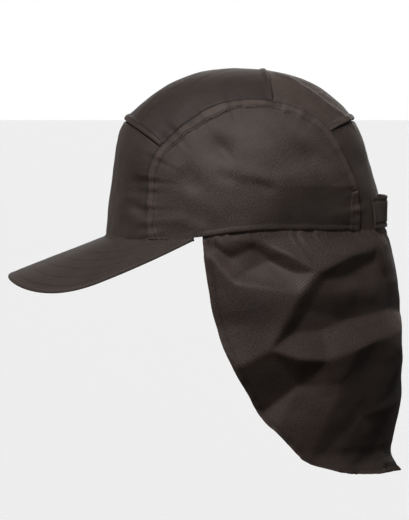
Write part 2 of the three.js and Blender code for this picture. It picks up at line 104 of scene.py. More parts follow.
# Where the cloth behind the ears is drawn in towards the rim, a little further than in the CAD
TUCK_DEPTH = 0.0075
TUCK_TOP = 0.285
TUCK_FRONT = 98
TUCK_BACK = 152
TUCK_FADE = 14

HALF_LENGTH = CROWN_LENGTH / 2
HALF_WIDTH = CROWN_WIDTH / 2
# How long the cloth is over one degree of turn: along the strip, and round the head
LONG_ARC = math.radians(HALF_LENGTH)
WIDE_ARC = math.radians(HALF_WIDTH)
HALF_GAP_TURN = math.degrees(SEWN_GAP / 2 / HALF_WIDTH)
# A place inside the cap, to tell a cloth's outside from its inside
CAP_MIDDLE = np.array((0, 0, -0.02))
# Edges that are sewn under a neighbour: how far they go under, how deep they dip, and over what length
SEWN_UNDER_TURN = 0.9
SEWN_UNDER_DIP = 0.00145
SEWN_UNDER_EASE = 0.0013
SEWN_UNDER_FROM = -0.0002
# The flap's top edge is sewn inside the crown: how far it goes up there
FLAP_TUCKED = 0.0026
FLAP_TUCK_FADE = 0.0045


def table(columns, rows):
    """A table as one array for each named column."""
    return dict(zip(columns.split(), np.array(rows, dtype=float).T))


# The crown's middle line from the front rim over the top to the back rim.
MIDDLE_LINE = table("turn reach fullness", [
    (0, 1.008, 2.12),
    (12, 1.007, 2.14),
    (24, 1.043, 2.18),
    (31, 1.085, 2.22),
    (38, 1.105, 2.26),
    (44, 1.09, 2.3),
    (57, 1.059, 2.34),
    (70, 1.026, 2.38),
    (86, 1.001, 2.4),
    (98, 1.0, 2.38),
    (108, 1.01, 2.36),
    (118, 1.025, 2.32),
    (128, 1.036, 2.28),
    (138, 1.038, 2.22),
    (145, 1.024, 2.18),
    (151, 1.0, 2.16),
    (157, 0.984, 2.14),
    (165, 0.982, 2.12),
    (172, 0.992, 2.12),
    (180, 1.006, 2.12),
])
# The seam between the middle strip and a side panel. spread: degrees out from the middle line.
SIDE_SEAM = table("turn spread", [
    (0, 47.3),
    (19, 44.4),
    (34, 42.4),
    (46, 42.6),
    (58, 42.6),
    (76, 41.2),
    (97, 39.4),
    (117, 37.4),
    (131, 36.4),
    (147, 36.2),
    (160, 33.4),
    (180, 32),
])
# The seams across the strip: the turn at the middle line, and how much further round at the side.
FRONT_SEAM = {"turn": 38.3, "bow": 3.5}
CROWN_SEAM = {"turn": 98.5, "bow": 5}
BACK_SEAM = {"turn": 139, "bow": -5.5}
SHOULDER_FRONT = 50
SHOULDER_BACK = 132
RIM_LINE = table("along lift", [
    (-1, 0),
    (-0.68, 0),
    (-0.35, 0.3),
    (-0.05, 0.9),
    (0.38, 1),
    (0.67, 0.8),
    (1, 0.9),
])
# Soft dents. round: degrees from the front. up: share of the height. deep: share of CROWN_WIDTH.
DENTS = table("round up wide tall deep", [
    (79, 0.52, 9, 0.08, 0.012),
    (118, 0.47, 9, 0.08, 0.011),
    (64, 0.34, 8, 0.07, 0.01),
    (94, 0.33, 12, 0.05, -0.009),
    (40, 0.24, 6, 0.12, 0.012),
])
# The flap's front edge. down: share of FLAP_LENGTH. turn: share of the turn to its top corner.
FLAP_EDGE = table("down turn", [
    (0, 1.0),
    (0.08, 0.988),
    (0.22, 0.968),
    (0.38, 0.938),
    (0.53, 0.884),
    (0.66, 0.824),
    (0.76, 0.768),
    (0.81, 0.718),
    (0.863, 0.666),
    (0.914, 0.616),
    (0.94, 0.582),
    (0.966, 0.51),
    (1, 0.37),
])
FLAP_SWELL = table("down out", [
    (0, 0),
    (0.03, 0.16),
    (0.08, 0.46),
    (0.2, 0.86),
    (0.32, 1.02),
    (0.55, 1.06),
    (0.64, 1.02),
    (0.76, 0.86),
    (0.87, 0.52),
    (0.93, 0.36),
    (1, 0.66),
])
# Corners where the flap's creases meet. turn: degrees from the back. down: share of FLAP_LENGTH.
# out: share of FOLD_DEPTH that the cloth stands out there, or lies in if negative.
FOLD_CORNERS = {
    "left_arm_start": (85, 0.035, 0.15),
    "left_arm_middle": (73, 0.098, 0.68),
    "apex": (62.7, 0.16, 1),
    "right_arm_middle": (48, 0.099, 0.66),
    "right_arm_start": (26, 0.049, 0.25),
    "trough_start": (87, 0.064, -0.15),
    "trough_bend": (80, 0.122, -0.1),
    "trough_middle": (71, 0.165, 0.48),
    "puff_front": (100, 0.025, 0.3),
    "pocket_front": (103, 0.039, -0.15),
    "pocket_middle": (97, 0.102, -0.15),
    "pocket_back": (91, 0.165, 0.05),
    "streak_front": (104.5, 0.075, 0.2),
    "streak_back": (94.5, 0.202, 0.5),
    "long_1": (70, 0.247, 1.02),
    "long_2": (75.3, 0.357, 1),
    "long_3": (81.3, 0.47, 0.95),
    "long_4": (92.5, 0.54, 0.72),
    "wedge_1": (62, 0.223, 0.7),
    "wedge_2": (66, 0.317, 0.5),
    "wedge_3": (72, 0.406, 0.55),
    "under_arm_1": (59.5, 0.189, 0.66),
    "under_arm_2": (45.5, 0.172, 0.18),
    "under_arm_3": (27.5, 0.12, -0.15),
    "sub_1": (61.8, 0.262, 0.56),
    "sub_2": (61.8, 0.322, 0.34),
    "sub_3": (59, 0.395, 0.2),
    "star": (58.4, 0.513, 0.66),
    "back_swell_1": (53.5, 0.246, 0.42),
    "back_swell_2": (37.5, 0.223, 0),
    "back_swell_3": (19.5, 0.207, -0.25),
    "hollow_2": (45.8, 0.359, -0.12),
    "hollow_3": (28.6, 0.343, -0.38),
    "hollow_4": (14, 0.33, -0.45),
    "fan_2": (45.4, 0.468, 0.7),
    "fan_3": (31, 0.428, 0.5),
    "fan_4": (15.5, 0.403, 0.22),
    "base_1": (70, 0.506, 1),
    "valley_1": (68, 0.617, 0.12),
    "valley_2": (83, 0.735, -0.3),
    "tip_1": (50.6, 0.611, 0.28),
    "tip_2": (35.5, 0.741, -0.12),
    "tip_3": (21.5, 0.846, -0.35),
    "tail_side": (15, 0.95, -0.15),
    "tail": (0, 0.965, 0.4),
    "tail_end": (0, 1.03, 0.66),
}
# The creases, each from corner to corner
FOLD_LINES = [
    "left_arm_start left_arm_middle apex right_arm_middle right_arm_start",
    "trough_start trough_bend trough_middle apex",
    "puff_front left_arm_start",
    "pocket_front pocket_middle pocket_back",
    "streak_front streak_back",
    "apex long_1 long_2 long_3 long_4",
    "apex wedge_1 wedge_2 wedge_3 long_3",
    "apex under_arm_1 under_arm_2 under_arm_3",
    "under_arm_1 sub_1 sub_2 sub_3 star",
    "sub_1 back_swell_1 back_swell_2 back_swell_3",
    "sub_3 hollow_2 hollow_3 hollow_4",
    "star fan_2 fan_3 fan_4",
    "star base_1 long_3",
    "star valley_1 valley_2",
    "star tip_1 tip_2 tip_3",
    "tail tail_end",
]

# How fine each piece's grid is: the distance between its corners, or how many cells it has
CROWN_PITCH = 0.0009
FLAP_PITCH = 0.00112
STRAP_PITCH = 0.0008
PEAK_CELLS = (210, 190)
# Each piece's weave is read this far off the pattern's origin
ASIDE = 0.1

# Random unevenness: how high and how wide its hills are, and the seed of its random draw
UNEVEN = {
    "band_width": (0.0013, 0.009, 21),
    "crown": (0.0006, 0.024, 31),
    "crown_fine": (0.00026, 0.0095, 32),
    "front_seam": (0.0003, 0.008, 41),
    "cross_seam": (0.0003, 0.007, 42),
    "hem_share": (0.4, 0.009, 51),
    "hem_drawn": (0.00022, 0.005, 52),
    "peak": (0.0002, 0.018, 61),
    "strap": (0.0003, 0.009, 71),
    "gather_slant": (0.8, 0.06, 81),
    "gather_strength": (0.6, 0.035, 82),
    "gather_reach": (0.5, 0.05, 83),
    "flap_edge": (0.0005, 0.006, 91),
    "flap": (0.0007, 0.024, 92),
    "flap_fine": (0.0003, 0.009, 93),
}
# How much paler each worn edge is (the pucker entries also paint the puckers' hollows darker and tops paler
# as light and shade), how dark the painted shadow is in each seam and under each lapping edge, and how much
# darker each row of stitches
EDGE_WEAR = {
    "band": 0.3, "hills": 0.4, "strip": 0.35, "lip": 0.6,
    "hem": 0.25, "peak": 0.5, "strap": 0.4, "flap": 0.35,
}
SEAM_PAINTED_SHADOW = {"band": 0.9, "strip": 1.1, "front": 0.9, "top_back": 0.7, "back": 1.1}
ROW_DARK = {"band": 0.65, "lip": 0.7, "hem": 0.9, "peak": 0.35, "strap": 0.8, "flap": 0.7}
# How wide those shades are, from the finest row of stitches to the shade under the back lip
ROW_LINE = 0.0007
HEM_LINE = 0.0008
SEAM_LINE = 0.0009
WORN_LINE = 0.0012
DEEP_LINE = 0.0014
PEAK_EDGE_LINE = 0.0022
BACK_LINE = 0.003


def smooth(value, start=0.0, end=1.0):
    """From 0 at start to 1 at end, level at both."""
    t = np.clip((value - start) / (end - start), 0, 1)
    return t * t * (3 - 2 * t)


def lerp(start, end, share):
    return start + (end - start) * share


def sample(rows, key, column, at):
    """A column of a table at places between its rows, along a smooth curve through them."""
    keys = rows[key]
    values = rows[column]
    last = len(keys) - 1
    at = np.clip(at, keys[0], keys[-1])
    before = np.maximum(np.arange(last + 1) - 1, 0)
    after = np.minimum(np.arange(last + 1) + 1, last)
    slope = (values[after] - values[before]) / (keys[after] - keys[before])
    i = np.clip(np.searchsorted(keys, at, side="right") - 1, 0, last - 1)
    width = keys[i + 1] - keys[i]
    t = (at - keys[i]) / width
    start = values[i] + slope[i] * width * t
    end = values[i + 1] - slope[i + 1] * width * (1 - t)
    return lerp(start, end, t * t * (3 - 2 * t))


def unit(vectors):
    return vectors / np.linalg.norm(vectors, axis=-1, keepdims=True)


def vectors(x, y, z):
    return np.stack(np.broadcast_arrays(x, y, z), axis=-1).astype(float)


def direction(turn, spread):
    """A direction from the origin, by its turn over the middle line and its spread to the side."""
    turn, spread = np.radians(turn), np.radians(spread)
    return vectors(np.sin(spread), -np.cos(spread) * np.cos(turn), np.cos(spread) * np.sin(turn))


def round_from_front(points):
    """Degrees from the front, the same on both sides."""
    return np.degrees(np.arctan2(np.abs(points[..., 0]), -points[..., 1]))


def rim_direction(round_turn):
    """A direction at rim level, in degrees from the front."""
    turn = np.radians(round_turn)
    return vectors(np.sin(turn), -np.cos(turn), 0)


def soft_noise(x, y, size, seed):
    """Smooth random hills from -1 to 1, each about size across."""
    lattice = np.random.default_rng(seed).uniform(-1, 1, (64, 64))
    column, row = np.floor(x / size), np.floor(y / size)
    s, t = smooth(x / size - column), smooth(y / size - row)
    i, j = column.astype(int) % 64, row.astype(int) % 64
    k, m = (i + 1) % 64, (j + 1) % 64
    near = lerp(lattice[i, j], lattice[k, j], s)
    far = lerp(lattice[i, m], lattice[k, m], s)
    return lerp(near, far, t)


def uneven(kind, x, y=0.0):
    """One kind of random unevenness at each place."""
    height, size, seed = UNEVEN[kind]
    return height * soft_noise(x, x * 0 + y, size, seed)


# The crown's surface

def dent_at(place):
    """How far the cloth is pushed in at places given as shares of the crown's size."""
    turn = round_from_front(place)
    starts = smooth(turn, TUCK_FRONT - TUCK_FADE, TUCK_FRONT + TUCK_FADE)
    ends = 1 - smooth(turn, TUCK_BACK - TUCK_FADE, TUCK_BACK + TUCK_FADE)
    inward = TUCK_DEPTH * starts * ends * np.maximum(0, 1 - place[..., 2] / TUCK_TOP)
    for around, up, wide, tall, deep in zip(*DENTS.values()):
        across = (turn - around) / wide
        upward = (place[..., 2] - up) / tall
        inward = inward + deep * CROWN_WIDTH * np.exp(-across ** 2 - upward ** 2)
    return inward


def crown_form(toward):
    """The crown's outer surface in each direction."""
    d = unit(toward)
    turn = np.degrees(np.arctan2(np.abs(d[..., 2]), -d[..., 1]))
    reach = sample(MIDDLE_LINE, "turn", "reach", turn)
    fullness = sample(MIDDLE_LINE, "turn", "fullness", turn)
    middle = np.hypot(d[..., 1], d[..., 2]) / reach
    far = (np.abs(d[..., 0]) ** fullness + middle ** fullness) ** (-1 / fullness)
    share = d * far[..., None]
    inward = 1 - dent_at(share) / HALF_WIDTH
    x = share[..., 0] * inward * HALF_WIDTH
    y = share[..., 1] * inward * HALF_LENGTH
    z = share[..., 2] * CROWN_HEIGHT
    fade = 1 - np.clip(z / CROWN_HEIGHT, 0, 1)
    lift = sample(RIM_LINE, "along", "lift", y / HALF_LENGTH)
    return vectors(x, y, z + RIM_RISE * lift * fade * fade)


# How far apart the points are that a direction on the crown, or on a piece, is measured between
FORM_STEP = 0.004
PIECE_STEP = 0.002


def crown_point(toward, out):
    """Points that stand out of the crown's outer surface by a distance, or lie inside it."""
    d = unit(toward)
    steep = np.abs(d[..., 2:]) >= 0.9
    across = np.cross(d, np.where(steep, (0.0, -1.0, 0.0), (0.0, 0.0, 1.0)))
    side = unit(across)
    rise = np.cross(side, d)
    along_side = crown_form(d + side * FORM_STEP) - crown_form(d - side * FORM_STEP)
    along_rise = crown_form(d + rise * FORM_STEP) - crown_form(d - rise * FORM_STEP)
    normal = unit(np.cross(along_rise, along_side))
    return crown_form(d) + normal * np.asarray(out)[..., None]


def seam_spread(turn):
    return sample(SIDE_SEAM, "turn", "spread", turn)


def across_turn(seam, side):
    return seam["turn"] + seam["bow"] * side * side


def path_length(points):
    return np.linalg.norm(np.diff(points, axis=0), axis=1).sum()


# Seams: how the cloth beside them rises and puckers

def seam_line(side):
    """The seam between the strip and a side panel, from the front rim over to the back rim."""
    turn = np.linspace(0, 180, 900)
    return crown_form(direction(turn, side * seam_spread(turn)))


# How many points are measured at a time, to spare memory
AT_ONCE = 3000


def beside(line, points):
    """Each point's distance from a line, and how far along the line it is."""
    along = np.concatenate([[0], np.cumsum(np.linalg.norm(np.diff(line, axis=0), axis=1))])
    tangent = unit(np.gradient(line, axis=0))
    distance = np.empty(len(points))
    place = np.empty(len(points))
    for first in range(0, len(points), AT_ONCE):
        part = slice(first, first + AT_ONCE)
        nearest = ((points[part, None] - line[None]) ** 2).sum(-1).argmin(1)
        offset = points[part] - line[nearest]
        forward = (offset * tangent[nearest]).sum(-1)
        distance[part] = np.linalg.norm(offset - tangent[nearest] * forward[:, None], axis=1)
        place[part] = along[nearest] + forward
    return distance, place


# Puckers: how long they are, how much longer the broad ones are, and the share of each
PUCKER_LENGTH = 0.0042
PUCKER_BROADER = 2.3
PUCKER_FINE = 0.65
PUCKER_BROAD = 0.5
# How strong they are low down at the front and elsewhere, and between which places along the seam
PUCKER_FRONT = 1.3
PUCKER_ELSEWHERE = 0.55
PUCKER_FRONT_TO = 0.06
PUCKER_CALM_FROM = 0.12
PUCKER_RISE = 0.0008
PUCKER_REACH = 0.0075
PUCKER_EASE = 0.003
STRIP_PUCKER_EDGE = 0.5
STRIP_PUCKER_FULL = 1.7
# The felled band, and the rows of stitches on it
BAND_WIDTH = 0.0078
BAND_RISE = 0.0011
BAND_HILLS = 0.55
BAND_ROUND = 0.0012
BAND_EDGE_IN = 0.0004
BAND_EDGE_OUT = 0.0007
STITCH_IN = 0.0011
EDGE_ROW = 0.0011
GROOVE_DEPTH = 0.0006
GROOVE_WIDTH = 0.0007
JOIN_DEPTH = 0.0006
# The felled seam is pieced where the band crosses the back seam: how far along it, from the front rim.
BAND_JOIN = 0.2585


def pucker(along, side):
    """The uneven little hills that sewing draws up along a seam, from -1 to 1."""
    seed = 11 if side > 0 else 12
    fine = soft_noise(along, along * 0, PUCKER_LENGTH, seed)
    broad = soft_noise(along, along * 0, PUCKER_LENGTH * PUCKER_BROADER, seed + 10)
    return PUCKER_FINE * fine + PUCKER_BROAD * broad


def line_shade(distance, width):
    """1 along a line and 0 away from it, for the dark thread lines and the worn edges."""
    return np.exp(-(distance / width) ** 2)


def groove(distance):
    """The little valley that a row of stitches pulls into the cloth."""
    return -GROOVE_DEPTH * line_shade(distance, GROOVE_WIDTH)


def band_width(along):
    """The felled band's width, which wanders a little along the seam."""
    return BAND_WIDTH + uneven("band_width", along)


def pucker_strength(along):
    """Puckers are strongest low down at the front, where the seam is tightest."""
    return lerp(PUCKER_FRONT, PUCKER_ELSEWHERE, smooth(along, PUCKER_FRONT_TO, PUCKER_CALM_FROM))


def felled_band(distance, along, side):
    """The raised band on a side panel beside the seam, with its row of stitches: its rise, and its wear with
    painted shade in the pucker hollows and a painted shadow along the seam.
    """
    hills = pucker(along, side)
    width = band_width(along)
    on_band = 1 - smooth(distance, width - BAND_EDGE_IN, width + BAND_EDGE_OUT)
    rounded = np.sqrt(np.clip(distance / BAND_ROUND, 0, 1))
    rise = BAND_RISE * rounded * on_band * (1 + BAND_HILLS * hills)
    beyond = np.exp(-np.clip(distance - width, 0, None) / PUCKER_REACH)
    rise = rise + PUCKER_RISE * pucker_strength(along) * hills * beyond * (1 - 0.5 * on_band)
    rise = rise - JOIN_DEPTH * line_shade(along - BAND_JOIN, ROW_LINE) * on_band
    stitched = distance - width + STITCH_IN
    # The band's top is worn paler; the puckers get painted light on their tops and painted shade in their
    # hollows
    wear_and_painted_shading = (EDGE_WEAR["band"] * rounded + EDGE_WEAR["hills"] * hills) * on_band
    # Painted shadow along the seam line
    wear_and_painted_shading = wear_and_painted_shading - SEAM_PAINTED_SHADOW["band"] * line_shade(distance, HEM_LINE)
    return rise + groove(stitched), wear_and_painted_shading - ROW_DARK["band"] * line_shade(stitched, ROW_LINE)


def strip_beside(distance, along, side):
    """The strip's cloth puckers beside the seam: its rise, and its wear with painted shade in the pucker
    hollows and a painted shadow in the seam.
    """
    hills = pucker(along, side) * np.exp(-distance / PUCKER_REACH) * pucker_strength(along)
    eased = lerp(STRIP_PUCKER_EDGE, STRIP_PUCKER_FULL, smooth(distance, 0, PUCKER_EASE))
    # Painted light and shade on the puckers, and painted shadow in the seam
    wear_and_painted_shading = EDGE_WEAR["strip"] * hills - SEAM_PAINTED_SHADOW["strip"] * line_shade(distance, SEAM_LINE)
    return PUCKER_RISE * eased * hills, wear_and_painted_shading


# Soft ridges and hollows in the crown. Each runs between two places.
# round: degrees from the front. up: share of the height. rise: above the cloth, below it if negative.
CROWN_RIDGES = table("round_a up_a round_b up_b width rise", [
    (71, 0.585, 77, 0.527, 0.0055, -0.0013),
    (77, 0.527, 82, 0.465, 0.005, -0.0012),
    (78, 0.37, 87, 0.336, 0.0048, -0.0013),
    (91, 0.345, 102, 0.3, 0.004, -0.0012),
    (84, 0.405, 98, 0.39, 0.006, 0.0008),
    (58, 0.44, 62, 0.353, 0.008, -0.0015),
    (62, 0.353, 68, 0.285, 0.007, -0.0012),
    (119, 0.52, 128, 0.458, 0.008, -0.0014),
    (30, 0.335, 40, 0.303, 0.0045, -0.0009),
    (27, 0.24, 40, 0.219, 0.004, 0.0009),
    (31, 0.188, 38, 0.151, 0.004, -0.0009),
    (31, 0.14, 42, 0.083, 0.0042, 0.001),
    (44, 0.092, 58, 0.117, 0.005, 0.0009),
    (58, 0.117, 70, 0.055, 0.005, 0.0007),
    (139, 0.145, 148, 0.105, 0.006, 0.0009),
])
# Ridges along the top of the strip. turn: over the crown. spread: degrees to either side.
STRIP_RIDGES = table("turn_a spread_a turn_b spread_b width rise", [
    (101, 10, 112, 16, 0.003, 0.0011),
    (112, 16, 121, 17, 0.003, 0.0012),
    (121, 17, 134, 12, 0.0032, 0.0011),
    (104, 24, 128, 25, 0.003, -0.0007),
    (44, 20, 60, 16, 0.004, 0.0005),
    (46, 31, 54, 30, 0.003, -0.0006),
])


# How high a ridge is at its ends, and which part of a wave its length takes up
RIDGE_END = 0.35
RIDGE_WAVE = (0.15, 0.85)
# The crown's unevenness runs on a slant: how far it shifts with depth
UNEVEN_SLANT = 0.7


def ridges(rows, a, b, scale_a, scale_b):
    """The rise at places (a, b) from a table of ridges whose first four columns are their ends."""
    x, y = a * scale_a, b * scale_b
    total = np.zeros_like(x)
    for a0, b0, a1, b1, width, rise in zip(*rows.values()):
        start = np.array((a0 * scale_a, b0 * scale_b))
        way = np.array((a1 * scale_a, b1 * scale_b)) - start
        share = np.clip(((x - start[0]) * way[0] + (y - start[1]) * way[1]) / (way @ way), 0, 1)
        gap = np.hypot(x - start[0] - way[0] * share, y - start[1] - way[1] * share)
        taper = lerp(RIDGE_END, 1, np.sin(np.pi * lerp(*RIDGE_WAVE, share)))
        total += rise * taper * np.exp(-(gap / width) ** 2)
    return total


def crown_wrinkles(points):
    """Ridges, hollows and a slight unevenness all over the crown."""
    up = points[..., 2]
    rise = ridges(CROWN_RIDGES, round_from_front(points), up / CROWN_HEIGHT, WIDE_ARC, CROWN_HEIGHT)
    slanted = points[..., 0] + points[..., 1] * UNEVEN_SLANT
    return rise + uneven("crown", slanted, up) + uneven("crown_fine", slanted, up)


# Making a cloth piece

# The surface of each piece by its name, for the stitches that lie on it
SURFACES = {}


def cloth_piece(name, size, pitch, place, thickness, offset):
    """A sheet of cloth: a fine grid, each corner moved to its place, then made thick.

    size is about how long the sheet is each way. place(u, v) takes arrays of shares, and gives the
    points, each point's flat position in the cloth, and its wear and painted light and shade: above 0 is
    paler, below 0 is darker.
    offset is -1 where the points are the outside.
    """
    piece, points = moved_grid(name, [max(2, round(length / pitch)) for length in size], place)
    face_out(piece, points)
    add_modifier(piece, "SOLIDIFY", thickness=thickness, offset=offset, use_even_offset=True)
    return finish_piece(piece, name)


def moved_grid(name, cells, place):
    """A grid of cells whose corners are moved to their places, and those places."""
    bpy.ops.mesh.primitive_grid_add(x_subdivisions=cells[0], y_subdivisions=cells[1], size=2)
    SURFACES[name] = place
    piece = bpy.context.object
    mesh = piece.data
    corners = np.empty(len(mesh.vertices) * 3)
    mesh.vertices.foreach_get("co", corners)
    points, flat, wear_and_painted_shading = place(corners[0::3] / 2 + 0.5, corners[1::3] / 2 + 0.5)
    mesh.vertices.foreach_set("co", points.ravel())
    set_flat(mesh, flat)
    set_wear_and_painted_shading(mesh, wear_and_painted_shading)
    return piece, points


def set_flat(mesh, flat):
    """Writes each corner's flat position in the cloth, in metres, as the piece's UV."""
    corner = np.empty(len(mesh.loops), dtype=int)
    mesh.loops.foreach_get("vertex_index", corner)
    mesh.uv_layers[0].data.foreach_set("uv", flat[corner].ravel())


def set_wear_and_painted_shading(mesh, wear_and_painted_shading):
    """Writes how much paler or darker each corner is, by wear and by painted light and shade, for the
    material.
    """
    values = np.zeros(len(mesh.vertices)) + wear_and_painted_shading
    mesh.attributes.new("wear_and_painted_shading", "FLOAT", "POINT").data.foreach_set("value", values)


def face_out(piece, points):
    """Turns the sheet's faces away from the middle of the cap."""
    mesh = piece.data
    mesh.update()
    normals = np.empty(len(mesh.vertices) * 3)
    mesh.vertices.foreach_get("normal", normals)
    away = points - CAP_MIDDLE
    if (normals.reshape(-1, 3) * away).sum() < 0:
        mesh.flip_normals()


def add_modifier(piece, kind, **settings):
    """Adds a modifier and applies it."""
    modifier = piece.modifiers.new(kind.lower(), kind)
    for name, value in settings.items():
        setattr(modifier, name, value)
    bpy.context.view_layer.objects.active = piece
    bpy.ops.object.modifier_apply(modifier=modifier.name)


def finish_piece(piece, name, angle=50):
    """Smooths the piece except where it turns by more than an angle, and names it."""
    bpy.ops.object.select_all(action="DESELECT")
    piece.select_set(True)
    bpy.context.view_layer.objects.active = piece
    bpy.ops.object.shade_smooth_by_angle(angle=math.radians(angle))
    piece.name = name
    piece.data.name = name
    return piece


# Crown panels

def strip_place(side, turn, relief):
    """Points of the middle strip. relief(points, side, turn) gives how far each stands out, and its wear and
    painted shade.
    """
    spread = side * (seam_spread(turn) + SEWN_UNDER_TURN)
    toward = direction(turn, spread)
    base = crown_form(toward)
    edge, edge_wear_and_shade = strip_edges(base)
    rise, wear_and_painted_shading = relief(base, side, turn)
    inside = (seam_spread(turn) - np.abs(spread)) * LONG_ARC
    points = crown_point(toward, edge + rise * smooth(inside, 0, PUCKER_EASE) - sewn_under(inside))
    return points, np.stack([spread * LONG_ARC + ASIDE, turn * LONG_ARC], axis=-1), edge_wear_and_shade + wear_and_painted_shading


def sewn_under(inside):
    """How deep a panel's edge dips to pass under its neighbour. inside: the distance in from the seam."""
    return SEWN_UNDER_DIP * (1 - smooth(inside, SEWN_UNDER_FROM, SEWN_UNDER_EASE))


def strip_edges(base):
    """What the strip does along both side seams, with the wrinkles between them, and its wear and painted
    shade there.
    """
    turn = np.degrees(np.arctan2(base[:, 2], -base[:, 1]))
    spread = np.degrees(np.arcsin(np.clip(np.abs(base[:, 0]) / np.linalg.norm(base, axis=1), 0, 1)))
    rise = ridges(STRIP_RIDGES, turn, spread, LONG_ARC, LONG_ARC) + crown_wrinkles(base)
    wear_and_painted_shading = np.zeros_like(rise)
    for way in (-1, 1):
        near = base[:, 0] * way > 0
        beside_rise, beside_wear_and_shade = strip_beside(*beside(seam_line(way), base[near]), way)
        rise[near] += beside_rise
        wear_and_painted_shading[near] += beside_wear_and_shade
    return rise, wear_and_painted_shading


def from_seam(base, seam, side, turn):
    """How far along the strip each point is from a seam across it."""
    return np.radians(turn - across_turn(seam, side)) * np.linalg.norm(base, axis=1)


LIP_ROUND = 0.0012
LIP_STEP_OUT = 0.0014
LIP_ROW_IN = 0.0006
# How high its very edge is already, and how deep its row of stitches is beside others, as shares
LIP_START = 0.12
LIP_GROOVE = 0.7
# How high a lip still stands where its ends are sewn down, and from where on they are
LIP_END_SHARE = 0.45
LIP_END_FROM = 0.8


def lip(distance, rise, side):
    """A folded edge that laps over the next panel: a low rounded step, worn pale on its edge."""
    free = 1 - smooth(np.abs(side), LIP_END_FROM, 1)
    rolled = np.sqrt(np.clip(distance / LIP_ROUND + LIP_START, 0, 1))
    step = 1 - smooth(distance, LIP_WIDTH - LIP_ROUND, LIP_WIDTH + LIP_STEP_OUT)
    stitched = distance - LIP_WIDTH + LIP_ROW_IN
    height = lerp(LIP_END_SHARE, 1, free) * rise * rolled * step + groove(stitched) * LIP_GROOVE
    wear_and_painted_shading = EDGE_WEAR["lip"] * line_shade(distance - LIP_ROUND, WORN_LINE)
    return height, wear_and_painted_shading - ROW_DARK["lip"] * line_shade(stitched, ROW_LINE)


def strip_panel(name, start, end, relief):
    """A piece of the middle strip between two turns given as functions of the side."""
    def place(u, v):
        side = 2 * u - 1
        return strip_place(side, lerp(start(side), end(side), v), relief)

    middle = np.linspace(start(np.zeros(1))[0], end(np.zeros(1))[0], 60)
    long = path_length(crown_form(direction(middle, 0)))
    across = np.linspace(-1, 1, 60) * seam_spread(middle.mean())
    wide = path_length(crown_form(direction(middle.mean(), across)))
    return cloth_piece(name, (wide, long), CROWN_PITCH, place, CROWN_WALL, -1)


def edge_turn(seam, shift):
    """The turn of a panel's edge at each side: a seam's own turn and a small shift."""
    return lambda side: across_turn(seam, side) + shift


# The folded edges of the top panels
FRONT_LIP = edge_turn(FRONT_SEAM, HALF_GAP_TURN)
CROSS_LIP = edge_turn(CROWN_SEAM, -HALF_GAP_TURN)
BACK_LIP = edge_turn(BACK_SEAM, -HALF_GAP_TURN)
# How far the unevenness beside a cross seam reaches into the panel in front, and behind
FRONT_HILLS_REACH = 0.006
CROSS_HILLS_REACH = 0.005


def front_panel():
    def relief(base, side, turn):
        gap = -from_seam(base, FRONT_SEAM, side, turn)
        hills = uneven("front_seam", base[:, 0]) * np.exp(-np.abs(gap) / FRONT_HILLS_REACH)
        # Painted shadow along the seam under the top panel's lip
        return hills - sewn_under(gap), -SEAM_PAINTED_SHADOW["front"] * line_shade(gap, DEEP_LINE)

    sewn_end = edge_turn(FRONT_SEAM, SEWN_UNDER_TURN)
    return strip_panel("front_panel_cloth", lambda side: 0 * side, sewn_end, relief)


def top_panel_front():
    def relief(base, side, turn):
        front = from_seam(base, FRONT_SEAM, side, turn)
        back = -from_seam(base, CROWN_SEAM, side, turn)
        front_rise, front_wear = lip(front, LIP_RISE, side)
        back_rise, back_wear = lip(back, CROSS_LIP_RISE, side)
        return front_rise + back_rise, front_wear + back_wear

    return strip_panel("top_panel_front_cloth", FRONT_LIP, CROSS_LIP, relief)


def top_panel_back():
    def relief(base, side, turn):
        front = from_seam(base, CROWN_SEAM, side, turn)
        back = -from_seam(base, BACK_SEAM, side, turn)
        hills = uneven("cross_seam", base[:, 0]) * np.exp(-np.abs(front) / CROSS_HILLS_REACH)
        rise, wear_and_painted_shading = lip(back, LIP_RISE, side)
        # Painted shadow under the lip of the panel in front
        wear_and_painted_shading = wear_and_painted_shading - SEAM_PAINTED_SHADOW["top_back"] * line_shade(front, WORN_LINE)
        return rise + hills - sewn_under(front), wear_and_painted_shading

    sewn_start = edge_turn(CROWN_SEAM, -SEWN_UNDER_TURN)
    return strip_panel("top_panel_back_cloth", sewn_start, BACK_LIP, relief)


def turn_above(side, height):
    """The turn at which the back of the crown is a height above the rim."""
    def level(turn):
        return crown_form(direction(turn, side * seam_spread(turn)))[..., 2]

    high = np.full(len(side), float(BACK_SEAM["turn"]))
    low = np.full(len(side), 180.0)
    target = level(low) + height
    for _ in range(24):
        middle = (high + low) / 2
        above = level(middle) > target
        high = np.where(above, middle, high)
        low = np.where(above, low, middle)
    return np.where(height < SEWN_GAP, 180.0, high)


def arch_turn(side):
    """The turn of the back panel's lower edge: the rim, with a low arch cut out in the middle."""
    across = np.minimum(np.abs(side) / OPENING_SHARE, 1)
    return turn_above(side, OPENING_HEIGHT * (1 - across ** OPENING_FULLNESS) ** (1 / OPENING_FULLNESS))


def back_panel():
    def relief(base, side, turn):
        top = from_seam(base, BACK_SEAM, side, turn)
        # Painted shadow in a band under the top panel's lip
        return -sewn_under(top), -SEAM_PAINTED_SHADOW["back"] * line_shade(top, BACK_LINE)

    sewn_start = edge_turn(BACK_SEAM, -SEWN_UNDER_TURN)
    return strip_panel("back_panel_cloth", sewn_start, arch_turn, relief)


